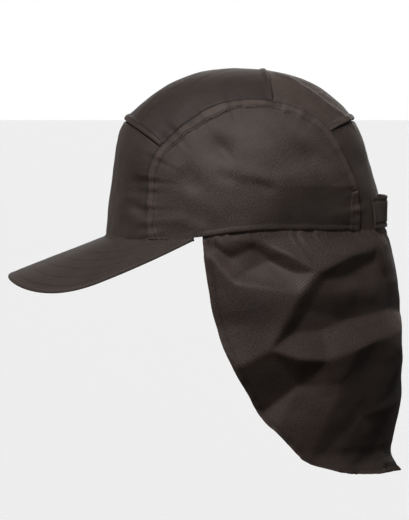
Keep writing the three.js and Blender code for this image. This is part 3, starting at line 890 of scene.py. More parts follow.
def side_patch(side, u, v):
    """Directions over a side panel, from its four edges: the rim, and the seam up, over and down."""
    def seam(turn):
        return direction(turn, side * (seam_spread(turn) + HALF_GAP_TURN))

    rim_front = sample(SIDE_SEAM, "turn", "spread", 0) + HALF_GAP_TURN
    rim_back = 180 - sample(SIDE_SEAM, "turn", "spread", 180) - HALF_GAP_TURN

    def rim(s):
        return rim_direction(side * lerp(rim_front, rim_back, s))

    def over(s):
        return seam(lerp(SHOULDER_FRONT, SHOULDER_BACK, s))

    zero, one = np.zeros_like(u), np.ones_like(u)
    p, q = u[..., None], v[..., None]
    mix = rim(u) * (1 - q) + over(u) * q
    mix = mix + seam(SHOULDER_FRONT * v) * (1 - p) + seam(lerp(180, SHOULDER_BACK, v)) * p
    mix = mix - rim(zero) * (1 - p) * (1 - q) - rim(one) * p * (1 - q)
    return mix - over(zero) * (1 - p) * q - over(one) * p * q


HEM_START_FADE = 0.0012
HEM_ROUND = 0.0013
HEM_START = 0.1
HEM_EDGE = 0.0009
HEM_ROW_IN = 0.0005
HEM_DRAWN_REACH = 0.008


def rim_hem(base, height):
    """The turned and stitched hem along the rim, where the flap hangs: its rise and its wear."""
    along = base[:, 1]
    starts = smooth(along, -FLAP_START - HEM_START_FADE, -FLAP_START + HEM_START_FADE)
    wavy = 1 + uneven("hem_share", along)
    rolled = np.sqrt(np.clip(height / HEM_ROUND + HEM_START, 0, 1))
    step = 1 - smooth(height, HEM_HEIGHT - HEM_EDGE, HEM_HEIGHT + HEM_EDGE)
    drawn = uneven("hem_drawn", along) * np.exp(-np.clip(height, 0, None) / HEM_DRAWN_REACH)
    stitched = height - HEM_HEIGHT + HEM_ROW_IN
    wear_and_painted_shading = EDGE_WEAR["hem"] * line_shade(height - WORN_LINE, WORN_LINE) * wavy
    wear_and_painted_shading = wear_and_painted_shading - ROW_DARK["hem"] * line_shade(stitched, HEM_LINE)
    return starts * (HEM_RISE * wavy * rolled * step + groove(stitched)) + drawn, starts * wear_and_painted_shading


# Painted shade and soft patches on the side panels. The first three rows paint shade low on the back half,
# below the tuck, where the cloth turns down; the others make paler and darker patches. round: degrees from
# the front. up: share of CROWN_HEIGHT.
SIDE_PAINTED_SHADE_AND_PATCHES = table("round up wide tall amount", [
    (126, 0.16, 24, 0.1, -0.4),
    (106, 0.12, 14, 0.09, -0.15),
    (140, 0.05, 20, 0.06, -0.2),
    (88, 0.62, 16, 0.1, 0.12),
    (66, 0.46, 9, 0.1, 0.12),
    (60, 0.25, 8, 0.08, -0.15),
    (98, 0.2, 10, 0.06, 0.12),
])


def shade_and_tone_spots(rows, a, b):
    """Paler and darker spots at places (a, b), from a table whose first two columns are each spot's middle:
    painted light and shade, and soft patches of tone.
    """
    total = 0.0
    for middle_a, middle_b, wide, tall, amount in zip(*rows.values()):
        total = total + amount * np.exp(-((a - middle_a) / wide) ** 2 - ((b - middle_b) / tall) ** 2)
    return total


# Where the hem starts beside the felled band
HEM_FROM_BAND = -0.002
HEM_CLEAR_OF_BAND = 0.001


def side_panel(name, side):
    def place(u, v):
        toward = side_patch(side, u, v)
        base = crown_form(toward)
        distance, along = beside(seam_line(side), base)
        height = v * high
        band_rise, band_wear_and_shade = felled_band(distance, along, side)
        hem_rise, hem_wear = rim_hem(base, height)
        off_band = smooth(distance, BAND_WIDTH + HEM_FROM_BAND, BAND_WIDTH + HEM_CLEAR_OF_BAND)
        rise = band_rise + crown_wrinkles(base) + hem_rise * off_band
        flat = np.stack([u * long, height], axis=-1)
        # Painted shade below the tuck, and soft paler and darker patches
        painted_shade_and_patches = shade_and_tone_spots(SIDE_PAINTED_SHADE_AND_PATCHES, round_from_front(base), base[:, 2] / CROWN_HEIGHT)
        return crown_point(toward, rise), flat, band_wear_and_shade + hem_wear * off_band + painted_shade_and_patches

    share = np.linspace(0, 1, 60)
    half = np.full(60, 0.5)
    long = path_length(crown_form(side_patch(side, share, half)))
    high = path_length(crown_form(side_patch(side, half, share)))
    return cloth_piece(name, (long * 1.05, high * 1.05), CROWN_PITCH, place, CROWN_WALL, -1)


# Peak

def rim_at_depth(y):
    """The rim's point on the left at a place from front to back."""
    front, back = 0.0, 180.0
    for _ in range(30):
        middle = (front + back) / 2
        if crown_form(rim_direction(np.array(middle)))[1] < y:
            front = middle
        else:
            back = middle
    return crown_form(rim_direction(np.array(front)))


def round_at_depth(y):
    """The turn round the rim at a place from front to back."""
    x, y, _ = rim_at_depth(y)
    return math.degrees(math.atan2(x / HALF_WIDTH, -y / HALF_LENGTH))


def peak_outline(s):
    """The peak's outline from above: half an oval in front of its widest place, a longer one behind."""
    widest = -HALF_LENGTH - PEAK_WIDEST
    depth = PEAK_REACH - PEAK_WIDEST
    corner = -HALF_LENGTH + PEAK_CORNER
    turn = np.radians(s * (90 + math.degrees(math.asin((corner - widest) / PEAK_TAIL))))
    across, ahead = np.sin(turn), np.cos(turn)
    x = PEAK_WIDTH / 2 * np.sign(across) * np.abs(across) ** PEAK_OVAL
    front = widest - depth * np.abs(ahead) ** PEAK_OVAL
    return x, np.where(ahead >= 0, front, widest - PEAK_TAIL * ahead)


def board_height(x, y):
    """The curved board of the peak, which slopes to the front and falls away to both sides."""
    slope = math.tan(math.radians(PEAK_SLOPE))
    corner = rim_at_depth(-HALF_LENGTH + PEAK_CORNER)
    arch = (slope * PEAK_CORNER - corner[2]) / corner[0] ** 2
    return slope * (y + HALF_LENGTH) - PEAK_DROP - arch * x * x


PEAK_SEAM = 0.003
# The rows of stitches that follow the peak's edge
PEAK_ROWS = 5
PEAK_ROW_STEP = 0.0105
PEAK_ROW_FIRST = 0.006
PEAK_ROW_GROOVE = 0.3
# The share of the grid's rows that lie on top of the peak, and again underneath
PEAK_TOP_SHARE = 0.47


def peak_span(s):
    """The peak's inner edge under the rim, its outer edge, and how far apart they are."""
    corner_round = round_at_depth(-HALF_LENGTH + PEAK_CORNER)
    inner = crown_point(rim_direction(s * corner_round), np.full(len(s), -CROWN_WALL - SEWN_GAP))
    outer_x, outer_y = peak_outline(s)
    return inner, outer_x, outer_y, np.hypot(outer_x - inner[:, 0], outer_y - inner[:, 1])


def peak():
    """A board in a cloth cover. Its rows run over the top, round the edge and back underneath."""
    edge_radius = PEAK_WALL / 2

    def place(u, v):
        s = 2 * u - 1
        inner, outer_x, outer_y, reach = peak_span(s)
        edge_share = edge_radius / np.maximum(reach, edge_radius * 2)
        on_top = v < 0.5
        over = np.clip(v / PEAK_TOP_SHARE, 0, 1)
        under = np.clip((1 - v) / PEAK_TOP_SHARE, 0, 1)
        round_turn = np.clip((v - PEAK_TOP_SHARE) / (1 - 2 * PEAK_TOP_SHARE), 0, 1) * math.pi
        t = np.where(on_top, over, under) * (1 - edge_share) + edge_share * np.sin(round_turn)
        x = lerp(inner[:, 0], outer_x, t)
        y = lerp(inner[:, 1], outer_y, t)
        under_rim = inner[:, 2] - PEAK_GAP - board_height(inner[:, 0], inner[:, 1])
        sewn_up = PEAK_SEAM * (1 - smooth(t * reach, 0, PEAK_SEAM)) * on_top
        top = board_height(x, y) + under_rim * (1 - t) ** 2 + sewn_up
        depth = edge_radius * (1 - np.cos(round_turn))
        to_edge = reach * (1 - t)
        to_rows = [to_edge - PEAK_ROW_FIRST - k * PEAK_ROW_STEP for k in range(PEAK_ROWS)]
        relief = np.where(on_top, 1, -1) * sum(map(groove, to_rows)) * PEAK_ROW_GROOVE
        relief = relief + uneven("peak", x, y) * on_top
        wear_and_painted_shading = EDGE_WEAR["peak"] * line_shade(to_edge, PEAK_EDGE_LINE)
        wear_and_painted_shading = wear_and_painted_shading - ROW_DARK["peak"] * sum(line_shade(gap, SEAM_LINE) for gap in to_rows)
        flat = np.stack([x + ASIDE, y + 2 * ASIDE], axis=-1)
        return vectors(x, y, top - depth + relief), flat, wear_and_painted_shading

    piece, _ = moved_grid("peak_cover", PEAK_CELLS, place)
    bpy.ops.object.mode_set(mode="EDIT")
    bpy.ops.mesh.select_all(action="DESELECT")
    bpy.ops.mesh.select_non_manifold()
    bpy.ops.mesh.edge_face_add()
    bpy.ops.mesh.select_all(action="SELECT")
    bpy.ops.mesh.normals_make_consistent(inside=False)
    bpy.ops.object.mode_set(mode="OBJECT")
    return finish_piece(piece, "peak_cover")


# Closing strap

def back_wall(round_turn, height, out):
    """Points off the crown's outer surface, in degrees from the back and a height above the rim."""
    level = rim_direction(180 - round_turn)
    rim = crown_form(level)[..., 2]
    toward = level.copy()
    for _ in range(12):
        toward[..., 2] += (rim + height - crown_form(toward)[..., 2]) / CROWN_HEIGHT
    return crown_point(toward, out)


STRAP_ROW_IN = 0.003
STRAP_HALF = 0.04


def back_strap():
    def place(u, v):
        side = 2 * u - 1
        turn = side * STRAP_END_TURN
        height = SEWN_GAP + v * STRAP_HEIGHT
        sewn = smooth(np.abs(side), STRAP_SEWN_FROM, STRAP_SEWN_TO)
        edge = np.minimum(v, 1 - v) * STRAP_HEIGHT
        end = (1 - np.abs(side)) * STRAP_END_TURN * LONG_ARC
        stitched = groove(edge - STRAP_ROW_IN) + groove(end - STRAP_ROW_IN)
        out = SEWN_GAP + STRAP_WALL + stitched + uneven("strap", side * STRAP_HALF, height)
        upright = crown_point(rim_direction(180 - turn), out + STRAP_SLACK * (1 - sewn))
        upright[:, 2] = crown_form(rim_direction(180 - turn))[:, 2] + height
        points = lerp(upright, back_wall(turn, height, out), sewn[:, None])
        wear_and_painted_shading = EDGE_WEAR["strap"] * line_shade(edge, WORN_LINE)
        wear_and_painted_shading = wear_and_painted_shading - ROW_DARK["strap"] * line_shade(edge - STRAP_ROW_IN, HEM_LINE)
        return points, np.stack([turn * LONG_ARC + ASIDE, height], axis=-1), wear_and_painted_shading

    long = 2 * STRAP_END_TURN * LONG_ARC
    return cloth_piece("closing_strap", (long, STRAP_HEIGHT), STRAP_PITCH, place, STRAP_WALL, -1)


# Neck flap

# How far down the flap's back edge hangs straight, as a share of its length
STRAIGHT_BACK = 0.93
# How far out the lower end of that straight edge stands, as a share of FOLD_DEPTH
BACK_SWELL = 0.2
# How far in the flap's bottom edge lies, as a share of FOLD_DEPTH
BOTTOM_TUCK = -0.4
# How far above the seam the creases' upper border is, and how far from the back it starts, as a share
BORDER_ABOVE = 0.0015
BORDER_START = 0.1


def crease_points():
    """The corners of the flap's creases and its borders: round the head, down, and out."""
    points = [
        (turn * WIDE_ARC, down * FLAP_LENGTH, out * FOLD_DEPTH)
        for turn, down, out in FOLD_CORNERS.values()
    ]
    corner = FLAP_CORNER * WIDE_ARC
    for s in np.linspace(BORDER_START, 1, 9):
        straight = (s - BORDER_START) / (1 - BORDER_START) * STRAIGHT_BACK
        points.append((s * corner, -BORDER_ABOVE, 0))
        points.append((s * corner, FLAP_LENGTH + FOLD_MARGIN / 2, BOTTOM_TUCK * FOLD_DEPTH))
        points.append((0, straight * FLAP_LENGTH, BACK_SWELL * s * s * FOLD_DEPTH))
    for down, turn in zip(*FLAP_EDGE.values()):
        points.append((turn * corner + FOLD_MARGIN, down * FLAP_LENGTH, 0))
    return np.array(points)


def crease_edges():
    """The creases as pairs of places in the list of corners."""
    order = {name: place for place, name in enumerate(FOLD_CORNERS)}
    lines = [[order[name] for name in line.split()] for line in FOLD_LINES]
    return [pair for line in lines for pair in zip(line, line[1:])]


# The height map's cell, and how far each crease is rounded off
CREASE_CELL = 0.0005
CREASE_SOFTNESS = 0.0011


def crease_map():
    """The flap's folded form as a height map: straight between the creases, then slightly rounded."""
    points = crease_points()
    made = delaunay_2d_cdt([Vector(p[:2]) for p in points], crease_edges(), [], 0, 1e-7)
    order = [source[0] for source in made[3]]
    low, high = points[:, :2].min(0), points[:, :2].max(0)
    across = np.arange(low[0], high[0], CREASE_CELL)
    downward = np.arange(low[1], high[1], CREASE_CELL)
    x, y = np.meshgrid(across, downward, indexing="ij")
    height = np.zeros_like(x)
    for face in made[2]:
        a, b, c = (points[order[k]] for k in face)
        area = (b[0] - a[0]) * (c[1] - a[1]) - (c[0] - a[0]) * (b[1] - a[1])
        if abs(area) < 1e-12:
            continue
        on_b = ((x - a[0]) * (c[1] - a[1]) - (c[0] - a[0]) * (y - a[1])) / area
        on_c = ((b[0] - a[0]) * (y - a[1]) - (x - a[0]) * (b[1] - a[1])) / area
        inside = (on_b >= -1e-6) & (on_c >= -1e-6) & (on_b + on_c <= 1 + 1e-6)
        span = a[2] * (1 - on_b - on_c) + b[2] * on_b + c[2] * on_c
        height = np.where(inside, span, height)
    return {"low": low, "height": blurred(height, CREASE_SOFTNESS / CREASE_CELL)}


def blurred(grid, radius):
    """A grid softened by a bell curve of a radius given in cells."""
    reach = math.ceil(radius * 3)
    weights = np.exp(-0.5 * (np.arange(-reach, reach + 1) / radius) ** 2)
    weights /= weights.sum()
    for axis in (0, 1):
        padded = np.pad(grid, [(reach, reach) if k == axis else (0, 0) for k in (0, 1)], mode="edge")
        slices = [np.take(padded, range(k, k + grid.shape[axis]), axis=axis) for k in range(2 * reach + 1)]
        grid = sum(weight * part for weight, part in zip(weights, slices))
    return grid


def read_map(chart, x, y):
    """A height map's value at each place, straight between its cells."""
    grid = chart["height"]
    column = np.clip((x - chart["low"][0]) / CREASE_CELL, 0, grid.shape[0] - 1.001)
    row = np.clip((y - chart["low"][1]) / CREASE_CELL, 0, grid.shape[1] - 1.001)
    i, j = column.astype(int), row.astype(int)
    s, t = column - i, row - j
    near = lerp(grid[i, j], grid[i + 1, j], s)
    far = lerp(grid[i, j + 1], grid[i + 1, j + 1], s)
    return lerp(near, far, t)


# The turn from the back to the flap's top front corner
FLAP_CORNER = 180 - round_at_depth(-FLAP_START)
# The gathers lean over by one of their widths in this length, and are stronger beside the strap
GATHER_LEAN = 0.03
GATHER_STRENGTH = 0.55
GATHER_STRAP_SHARE = 0.13


def gathers(side, below):
    """The gathers that the seam draws into the top of the flap, uneven and a little slanted."""
    slant = side * GATHER_COUNT + below / GATHER_LEAN * np.sign(side) + uneven("gather_slant", side)
    by_strap = np.exp(-(side / GATHER_STRAP_SHARE) ** 2)
    strength = GATHER_STRENGTH + uneven("gather_strength", side + 3) + by_strap
    reach = GATHER_FADE * (1 + uneven("gather_reach", side + 5))
    return np.cos(2 * np.pi * slant) * np.exp(-below / reach) * strength


def flap_half(down):
    """The turn from the back to the flap's front edge, at a share of its length down."""
    return FLAP_CORNER * sample(FLAP_EDGE, "down", "turn", down)


def flap_form(side, down, chart):
    """The flap's middle surface: it follows the rim, swells out behind, and hangs in creases."""
    turn = side * flap_half(down)
    below = down * FLAP_LENGTH
    tucked = 1 - smooth(below, 0, FLAP_TUCK_FADE)
    inward = CROWN_WALL / 2 + tucked * (CROWN_WALL + FLAP_WALL) / 2
    rim = crown_point(rim_direction(180 - turn), -inward)
    away = unit(vectors(rim[:, 0] / HALF_WIDTH, rim[:, 1] / HALF_LENGTH, 0))
    behind = np.maximum(np.cos(np.radians(turn)), 0)
    swell = FLAP_BULGE * sample(FLAP_SWELL, "down", "out", down) * behind
    folded = read_map(chart, np.abs(turn) * WIDE_ARC, below)
    folded = folded * lerp(1, FAR_SIDE_FOLDS, smooth(-turn, -20, 20)) * smooth(below, 0, FOLD_START)
    gathered = GATHER_DEPTH * gathers(side, below) * smooth(below, 0, GATHER_START)
    points = rim + away * (swell + folded + gathered + flap_relief(side, turn, below)[0])[:, None]
    points[:, 2] = lerp(points[:, 2] - SEWN_GAP, FLAP_CORNER_RISE * side ** 2 - FLAP_LENGTH, down)
    points[:, 2] += FLAP_TUCKED * tucked
    return points


FLAP_HEM = 0.0042
FLAP_HEM_RISE = 0.0004
FLAP_HEM_EDGE_IN = 0.0006
FLAP_HEM_EDGE_OUT = 0.0008
FLAP_ROW_IN = 0.0005
FLAP_DRAWN_REACH = 0.006
# How far below the seam the flap's own unevenness is at its full height
FLAP_CALM = 0.012

# Painted light and shade on the flap: darker where a facet turns away from the light, paler where it faces
# it. turn: degrees from the back. down: share of FLAP_LENGTH.
FLAP_PAINTED_LIGHT_AND_SHADE = table("turn down wide tall amount", [
    (80, 0.3, 14, 0.12, -0.22),
    (40, 0.92, 24, 0.07, -0.2),
    (39, 0.55, 9, 0.08, -0.5),
    (25, 0.68, 10, 0.12, -0.6),
    (14, 0.58, 10, 0.14, -0.4),
    (61, 0.6, 7, 0.05, 0.4),
    (78, 0.7, 8, 0.05, 0.2),
    (44, 0.19, 6, 0.035, 0.25),
    (31, 0.15, 8, 0.03, 0.25),
    (38, 0.29, 13, 0.04, -0.35),
    (88, 0.3, 6, 0.1, -0.3),
    (80, 0.4, 4, 0.06, 0.25),
    (97, 0.14, 3, 0.05, 0.35),
    (30, 0.86, 14, 0.06, -0.25),
])


def flap_relief(side, turn, below):
    """The flap's stitched hem and the slight crumple of its cloth: its rise, and its wear with painted light
    and shade.
    """
    across = turn * WIDE_ARC
    down = below / FLAP_LENGTH
    edge = np.minimum((1 - np.abs(side)) * flap_half(down) * WIDE_ARC, FLAP_LENGTH - below)
    stitched = edge - FLAP_HEM + FLAP_ROW_IN
    turned = 1 - smooth(edge, FLAP_HEM - FLAP_HEM_EDGE_IN, FLAP_HEM + FLAP_HEM_EDGE_OUT)
    hem = FLAP_HEM_RISE * turned + groove(stitched)
    drawn = uneven("flap_edge", across + below, below - across) * np.exp(-edge / FLAP_DRAWN_REACH)
    crumple = uneven("flap", across, below) + uneven("flap_fine", across, below)
    wear_and_painted_shading = EDGE_WEAR["flap"] * line_shade(edge, WORN_LINE) - ROW_DARK["flap"] * line_shade(stitched, HEM_LINE)
    # Painted light and shade on the flap's facets
    wear_and_painted_shading = wear_and_painted_shading + shade_and_tone_spots(FLAP_PAINTED_LIGHT_AND_SHADE, np.abs(turn), down)
    return smooth(below, 0, FLAP_CALM) * (hem + drawn + crumple), wear_and_painted_shading


def neck_flap():
    chart = crease_map()

    def place(u, v):
        side = 2 * u - 1
        turn = side * flap_half(v)
        flat = np.stack([turn * WIDE_ARC + 2 * ASIDE, v * FLAP_LENGTH], axis=-1)
        return flap_form(side, v, chart), flat, flap_relief(side, turn, v * FLAP_LENGTH)[1]

    wide = 2 * FLAP_CORNER * WIDE_ARC
    return cloth_piece("neck_flap_cloth", (wide, FLAP_LENGTH), FLAP_PITCH, place, FLAP_WALL, 0)


# Stitches

STITCH_LENGTH = 0.0025
STITCH_STEP = 0.0034
STITCH_THICK = 0.00042
STITCH_WANDER = 0.06


def stitch_shape():
    """One short rounded stitch along X: its corners and its faces."""
    bpy.ops.mesh.primitive_uv_sphere_add(segments=6, ring_count=4, radius=1)
    bpy.ops.transform.rotate(value=math.pi / 2, orient_axis="Y", center_override=(0, 0, 0))
    shape = bpy.context.object
    bpy.ops.object.transform_apply(location=False, rotation=True, scale=True)
    corners = np.array([vertex.co[:] for vertex in shape.data.vertices])
    faces = [list(face.vertices) for face in shape.data.polygons]
    bpy.data.objects.remove(shape)
    return corners * (STITCH_LENGTH / 2, STITCH_THICK / 2, STITCH_THICK / 2), faces


def row_on(name, u, v, lift=0.0, outward=None):
    """A row's points on a piece, and the way out from its cloth there."""
    def at(s, t):
        return SURFACES[name](np.clip(s, 0, 1), np.clip(t, 0, 1))[0]

    points = at(u, v)
    along_u = at(u + PIECE_STEP, v) - at(u - PIECE_STEP, v)
    along_v = at(u, v + PIECE_STEP) - at(u, v - PIECE_STEP)
    normal = unit(np.cross(along_u, along_v))
    away = points - CAP_MIDDLE if outward is None else np.array(outward)
    normal = normal * np.sign((normal * away).sum(-1, keepdims=True))
    return points + normal * lift, normal


def stitch_row(points, normals, seed):
    """Where each stitch of a row sits, and its three directions, with a slight unevenness."""
    random = np.random.default_rng(seed)
    along = np.concatenate([[0], np.cumsum(np.linalg.norm(np.diff(points, axis=0), axis=1))])
    stations = np.arange(STITCH_STEP / 2, along[-1] - STITCH_STEP / 2, STITCH_STEP)
    stations = stations + random.uniform(-1, 1, len(stations)) * STITCH_STEP * STITCH_WANDER

    def at(where, values):
        return np.stack([np.interp(where, along, values[:, k]) for k in range(3)], axis=-1)

    middle = at(stations, points)
    forward = unit(at(stations + STITCH_LENGTH / 2, points) - at(stations - STITCH_LENGTH / 2, points))
    out = at(stations, normals)
    across = unit(np.cross(out, forward))
    return middle, forward, across, np.cross(forward, across)


def stitches(name, rows):
    """All the rows of stitches of a piece, joined as one mesh."""
    corners, faces = stitch_shape()
    points, polygons = [], []
    for seed, (row_points, normals) in enumerate(rows):
        for middle, forward, across, out in zip(*stitch_row(row_points, normals, seed)):
            first = len(points) * len(corners)
            points.append(middle + corners @ np.stack([forward, across, out]))
            polygons.extend([[first + k for k in face] for face in faces])
    mesh = bpy.data.meshes.new(name)
    mesh.from_pydata(np.concatenate(points).tolist(), [], polygons)
    piece = bpy.data.objects.new(name, mesh)
    bpy.context.collection.objects.link(piece)
    finish_piece(piece, name, 180)
    piece.data.materials.append(CLOTH["thread"])
    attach(piece, "root")
    return piece


def band_row(side, inset):
    """A row on the felled band, at a distance from the seam that inset(along) gives."""
    turn = np.linspace(1, 179, 420)
    line = seam_line(side)
    spread = seam_spread(turn) + math.degrees(BAND_WIDTH / HALF_WIDTH) / 2
    for _ in range(5):
        base = crown_form(direction(turn, side * spread))
        distance, along = beside(line, base)
        spread = spread + np.degrees((inset(along) - distance) / np.linalg.norm(base, axis=1))
    toward = direction(turn, side * spread)
    base = crown_form(toward)
    rise = felled_band(*beside(line, base), side)[0] + crown_wrinkles(base)
    points = crown_point(toward, rise)
    return points, unit(crown_point(toward, rise + 0.001) - points)


def hem_row(name, side):
    """The row along the hem, from the flap's front corner to the back."""
    high = path_length(crown_form(side_patch(side, np.full(60, 0.5), np.linspace(0, 1, 60))))
    u = np.linspace(0.02, 0.93, 300)
    v = np.full(300, (HEM_HEIGHT - HEM_ROW_IN) / high)
    points, normals = row_on(name, u, v)
    kept = points[:, 1] > -FLAP_START
    return points[kept], normals[kept]


def lip_row(name, seam, start, end, way):
    """The row that holds down a folded edge. way is 1 where the edge is at the panel's front."""
    side = np.linspace(-0.98, 0.98, 160)
    radius = np.linalg.norm(crown_form(direction(across_turn(seam, side), side * 30)), axis=1)
    turn = across_turn(seam, side) + way * np.degrees((LIP_WIDTH - LIP_ROW_IN) / radius)
    return row_on(name, (side + 1) / 2, (turn - start(side)) / (end(side) - start(side)))


def peak_row(index):
    """One of the rows on the peak, counted from its edge, as far as it stays clear of the rim."""
    s = np.linspace(-0.985, 0.985, 300)
    reach = peak_span(s)[3]
    share = 1 - (PEAK_ROW_FIRST + index * PEAK_ROW_STEP) / reach
    kept = share * reach > PEAK_ROW_FIRST
    v = PEAK_TOP_SHARE * share / (1 - PEAK_WALL / 2 / reach)
    return row_on("peak_cover", ((s + 1) / 2)[kept], v[kept], outward=(0, 0, 1))


def flap_rows():
    """The row along the flap's hem: down one edge, along the bottom, and up the other edge."""
    inset = FLAP_HEM - FLAP_ROW_IN
    down = np.linspace(0.03, 1 - inset / FLAP_LENGTH, 300)
    u = 0.5 + (1 - inset / (flap_half(down) * WIDE_ARC)) / 2
    across = np.linspace(1 - u[-1], u[-1], 200)
    lift = FLAP_WALL / 2
    return [
        row_on("neck_flap_cloth", u, down, lift),
        row_on("neck_flap_cloth", across, np.full(200, down[-1]), lift),
        row_on("neck_flap_cloth", 1 - u, down, lift),
    ]


def strap_rows():
    """The rows along the strap's upper and lower edge."""
    inset = STRAP_ROW_IN / STRAP_HEIGHT
    across = np.linspace(0.02, 0.98, 100)
    return [row_on("closing_strap", across, np.full(100, v)) for v in (inset, 1 - inset)]


# Materials

def linear(hex_colour):
    """An sRGB hex colour as linear red, green, blue and alpha."""
    channels = [int(hex_colour[k:k + 2], 16) / 255 for k in (1, 3, 5)]
    return [c / 12.92 if c <= 0.04045 else ((c + 0.055) / 1.055) ** 2.4 for c in channels] + [1.0]


# The period of Blender's wave texture at scale 1
WAVE_PERIOD = 2 * math.pi / 20
# How large the flecks of uneven yarn are, and the patches of fading
YARN_SIZE = 0.0011
FADE_SIZE = 0.026
# How far fading, yarn and twill lines each move the colour between a cloth's dark and light
FADE_SHARES = (0.28, 0.72)
YARN_SHARE = 0.6
TWILL_SHARE = 0.13
# A worn fibre surface: barely glossy, with a pale dusty sheen at grazing angles
SPECULAR = 0.28
ROUGH_SPREAD = 0.08
SHEEN_ROUGH = 0.45
SHEEN_COLOUR = "#8c7a70"
BUMP_STRENGTH = 0.8


def add_node(tree, kind, inputs=(), **settings):
    """Adds a node. Each input is linked if it is given a socket, or else set to the value."""
    made = tree.nodes.new("ShaderNode" + kind)
    for name, value in settings.items():
        setattr(made, name, value)
    for name, value in dict(inputs).items():
        if isinstance(value, bpy.types.NodeSocket):
            tree.links.new(value, made.inputs[name])
        else:
            made.inputs[name].default_value = value
    return made


def stretched(tree, value, low, high, start, end):
    """A value taken from one range to another, and held at its ends."""
    inputs = {"Value": value, "From Min": low, "From Max": high, "To Min": start, "To Max": end}
    return add_node(tree, "MapRange", inputs).outputs["Result"]


def cloth_material(name, dark, light, grain=45, pitch=0.0015, rough=0.62, sheen=0.25, depth=0.0002):
    """Woven cloth: slanted twill lines, uneven yarns, slow fading, and from the attribute worn edges, dark
    rows and painted light and shade, with painted shadow in the seams.

    A real twill line is about 0.6 mm wide. That is too fine to show, so it is drawn at pitch.
    """
    material = bpy.data.materials.new(name)
    material.use_nodes = True
    tree = material.node_tree
    tree.nodes.clear()
    flat = add_node(tree, "UVMap").outputs["UV"]
    turned = add_node(tree, "Mapping", {"Vector": flat, "Rotation": (0, 0, math.radians(grain))})
    twill = add_node(tree, "TexWave", {
        "Vector": turned.outputs["Vector"], "Scale": WAVE_PERIOD / pitch,
        "Distortion": 1.2, "Detail": 2.0, "Detail Scale": 1.6,
    }, bands_direction="X").outputs["Fac"]
    yarn = add_node(tree, "TexNoise", {
        "Vector": flat, "Scale": 1 / YARN_SIZE, "Detail": 1.0, "Roughness": 0.6,
    }).outputs["Fac"]
    fade = add_node(tree, "TexNoise", {
        "Vector": flat, "Scale": 1 / FADE_SIZE, "Detail": 3.0, "Roughness": 0.6,
    }).outputs["Fac"]
    # The attribute holds wear together with painted light and shade
    wear_and_painted_shading = add_node(tree, "Attribute", attribute_name="wear_and_painted_shading").outputs["Fac"]
    share = stretched(tree, fade, 0.3, 0.7, *FADE_SHARES)
    for part in (
        stretched(tree, yarn, 0.25, 0.75, -YARN_SHARE, YARN_SHARE),
        stretched(tree, twill, 0, 1, -TWILL_SHARE, TWILL_SHARE),
        wear_and_painted_shading,
    ):
        share = add_node(tree, "Math", {0: share, 1: part}, operation="ADD").outputs["Value"]
    colour = add_node(tree, "Mix", {"A": linear(dark), "B": linear(light)}, data_type="RGBA")
    tree.links.new(share, colour.inputs["Factor"])
    weave = add_node(tree, "Mix", {"Factor": 0.5, "A": twill, "B": yarn}, data_type="FLOAT")
    bump = add_node(tree, "Bump", {
        "Height": weave.outputs["Result"], "Strength": BUMP_STRENGTH, "Distance": depth,
    })
    shader = add_node(tree, "BsdfPrincipled", {
        "Base Color": colour.outputs["Result"],
        "Roughness": stretched(tree, yarn, 0.3, 0.7, rough - ROUGH_SPREAD, rough + ROUGH_SPREAD),
        "Normal": bump.outputs["Normal"],
        "Specular IOR Level": SPECULAR,
        "Sheen Weight": sheen,
        "Sheen Roughness": SHEEN_ROUGH,
        "Sheen Tint": linear(SHEEN_COLOUR),
    })
    add_node(tree, "OutputMaterial", {"Surface": shader.outputs["BSDF"]})
    return material


def floor_material():
    """Matt white studio paper, so that the cap stands before plain white."""
    material = bpy.data.materials.new("pale_studio_paper")
    material.use_nodes = True
    shader = material.node_tree.nodes["Principled BSDF"]
    shader.inputs["Base Color"].default_value = linear("#ffffff")
    shader.inputs["Roughness"].default_value = 0.9
    return material


# Floor, light and camera

PIXEL = 0.000748
IMAGE = (409, 520)
PHOTO_MIDDLE = Vector((0, -0.0303, -0.01907))
CAMERA_DISTANCE = 2.2
CAMERA_AZIMUTH = 90
CAMERA_HEIGHT = 3.5
SENSOR = 36.0
FLOOR_BELOW = 0.32
FLOOR_RADIUS = 30.0
# Each light's azimuth, elevation, strength and width in degrees
KEY_SUN = (68, 52, 2.7, 10)
FILL_SUN = (264, 16, 0.75, 40)
# How bright the studio is above and below eye level, and how high up it changes
WORLD_ABOVE = 0.13
WORLD_ABOVE_FROM = 0.12
WORLD_ABOVE_TO = 0.3
WORLD_BELOW = 0.03
WORLD_BELOW_FROM = -0.02
# How much of the studio's white reaches the cloth as light
WORLD_LEVEL = 0.62


def around(azimuth, elevation, distance):
    """A place seen from the cap's middle: azimuth 0 is the front and 90 the wearer's left."""
    a, e = math.radians(azimuth), math.radians(elevation)
    return Vector((math.sin(a) * math.cos(e), -math.cos(a) * math.cos(e), math.sin(e))) * distance


def aim(thing, target):
    thing.rotation_euler = (target - thing.location).to_track_quat("-Z", "Y").to_euler()


def floor():
    """The studio's floor, which the camera sees and which throws no light back on the cap."""
    bpy.ops.mesh.primitive_circle_add(vertices=64, radius=FLOOR_RADIUS, fill_type="NGON")
    piece = bpy.context.object
    piece.name = "studio_floor"
    piece.location = (0, 0, -FLOOR_BELOW)
    piece.data.materials.append(floor_material())
    piece.visible_diffuse = False
    piece.visible_glossy = False


def sun(name, azimuth, elevation, strength, angle):
    bpy.ops.object.light_add(type="SUN", location=around(azimuth, elevation, 3))
    lamp = bpy.context.object
    lamp.name = name
    lamp.data.energy = strength
    lamp.data.angle = math.radians(angle)
    aim(lamp, Vector((0, 0, 0)))


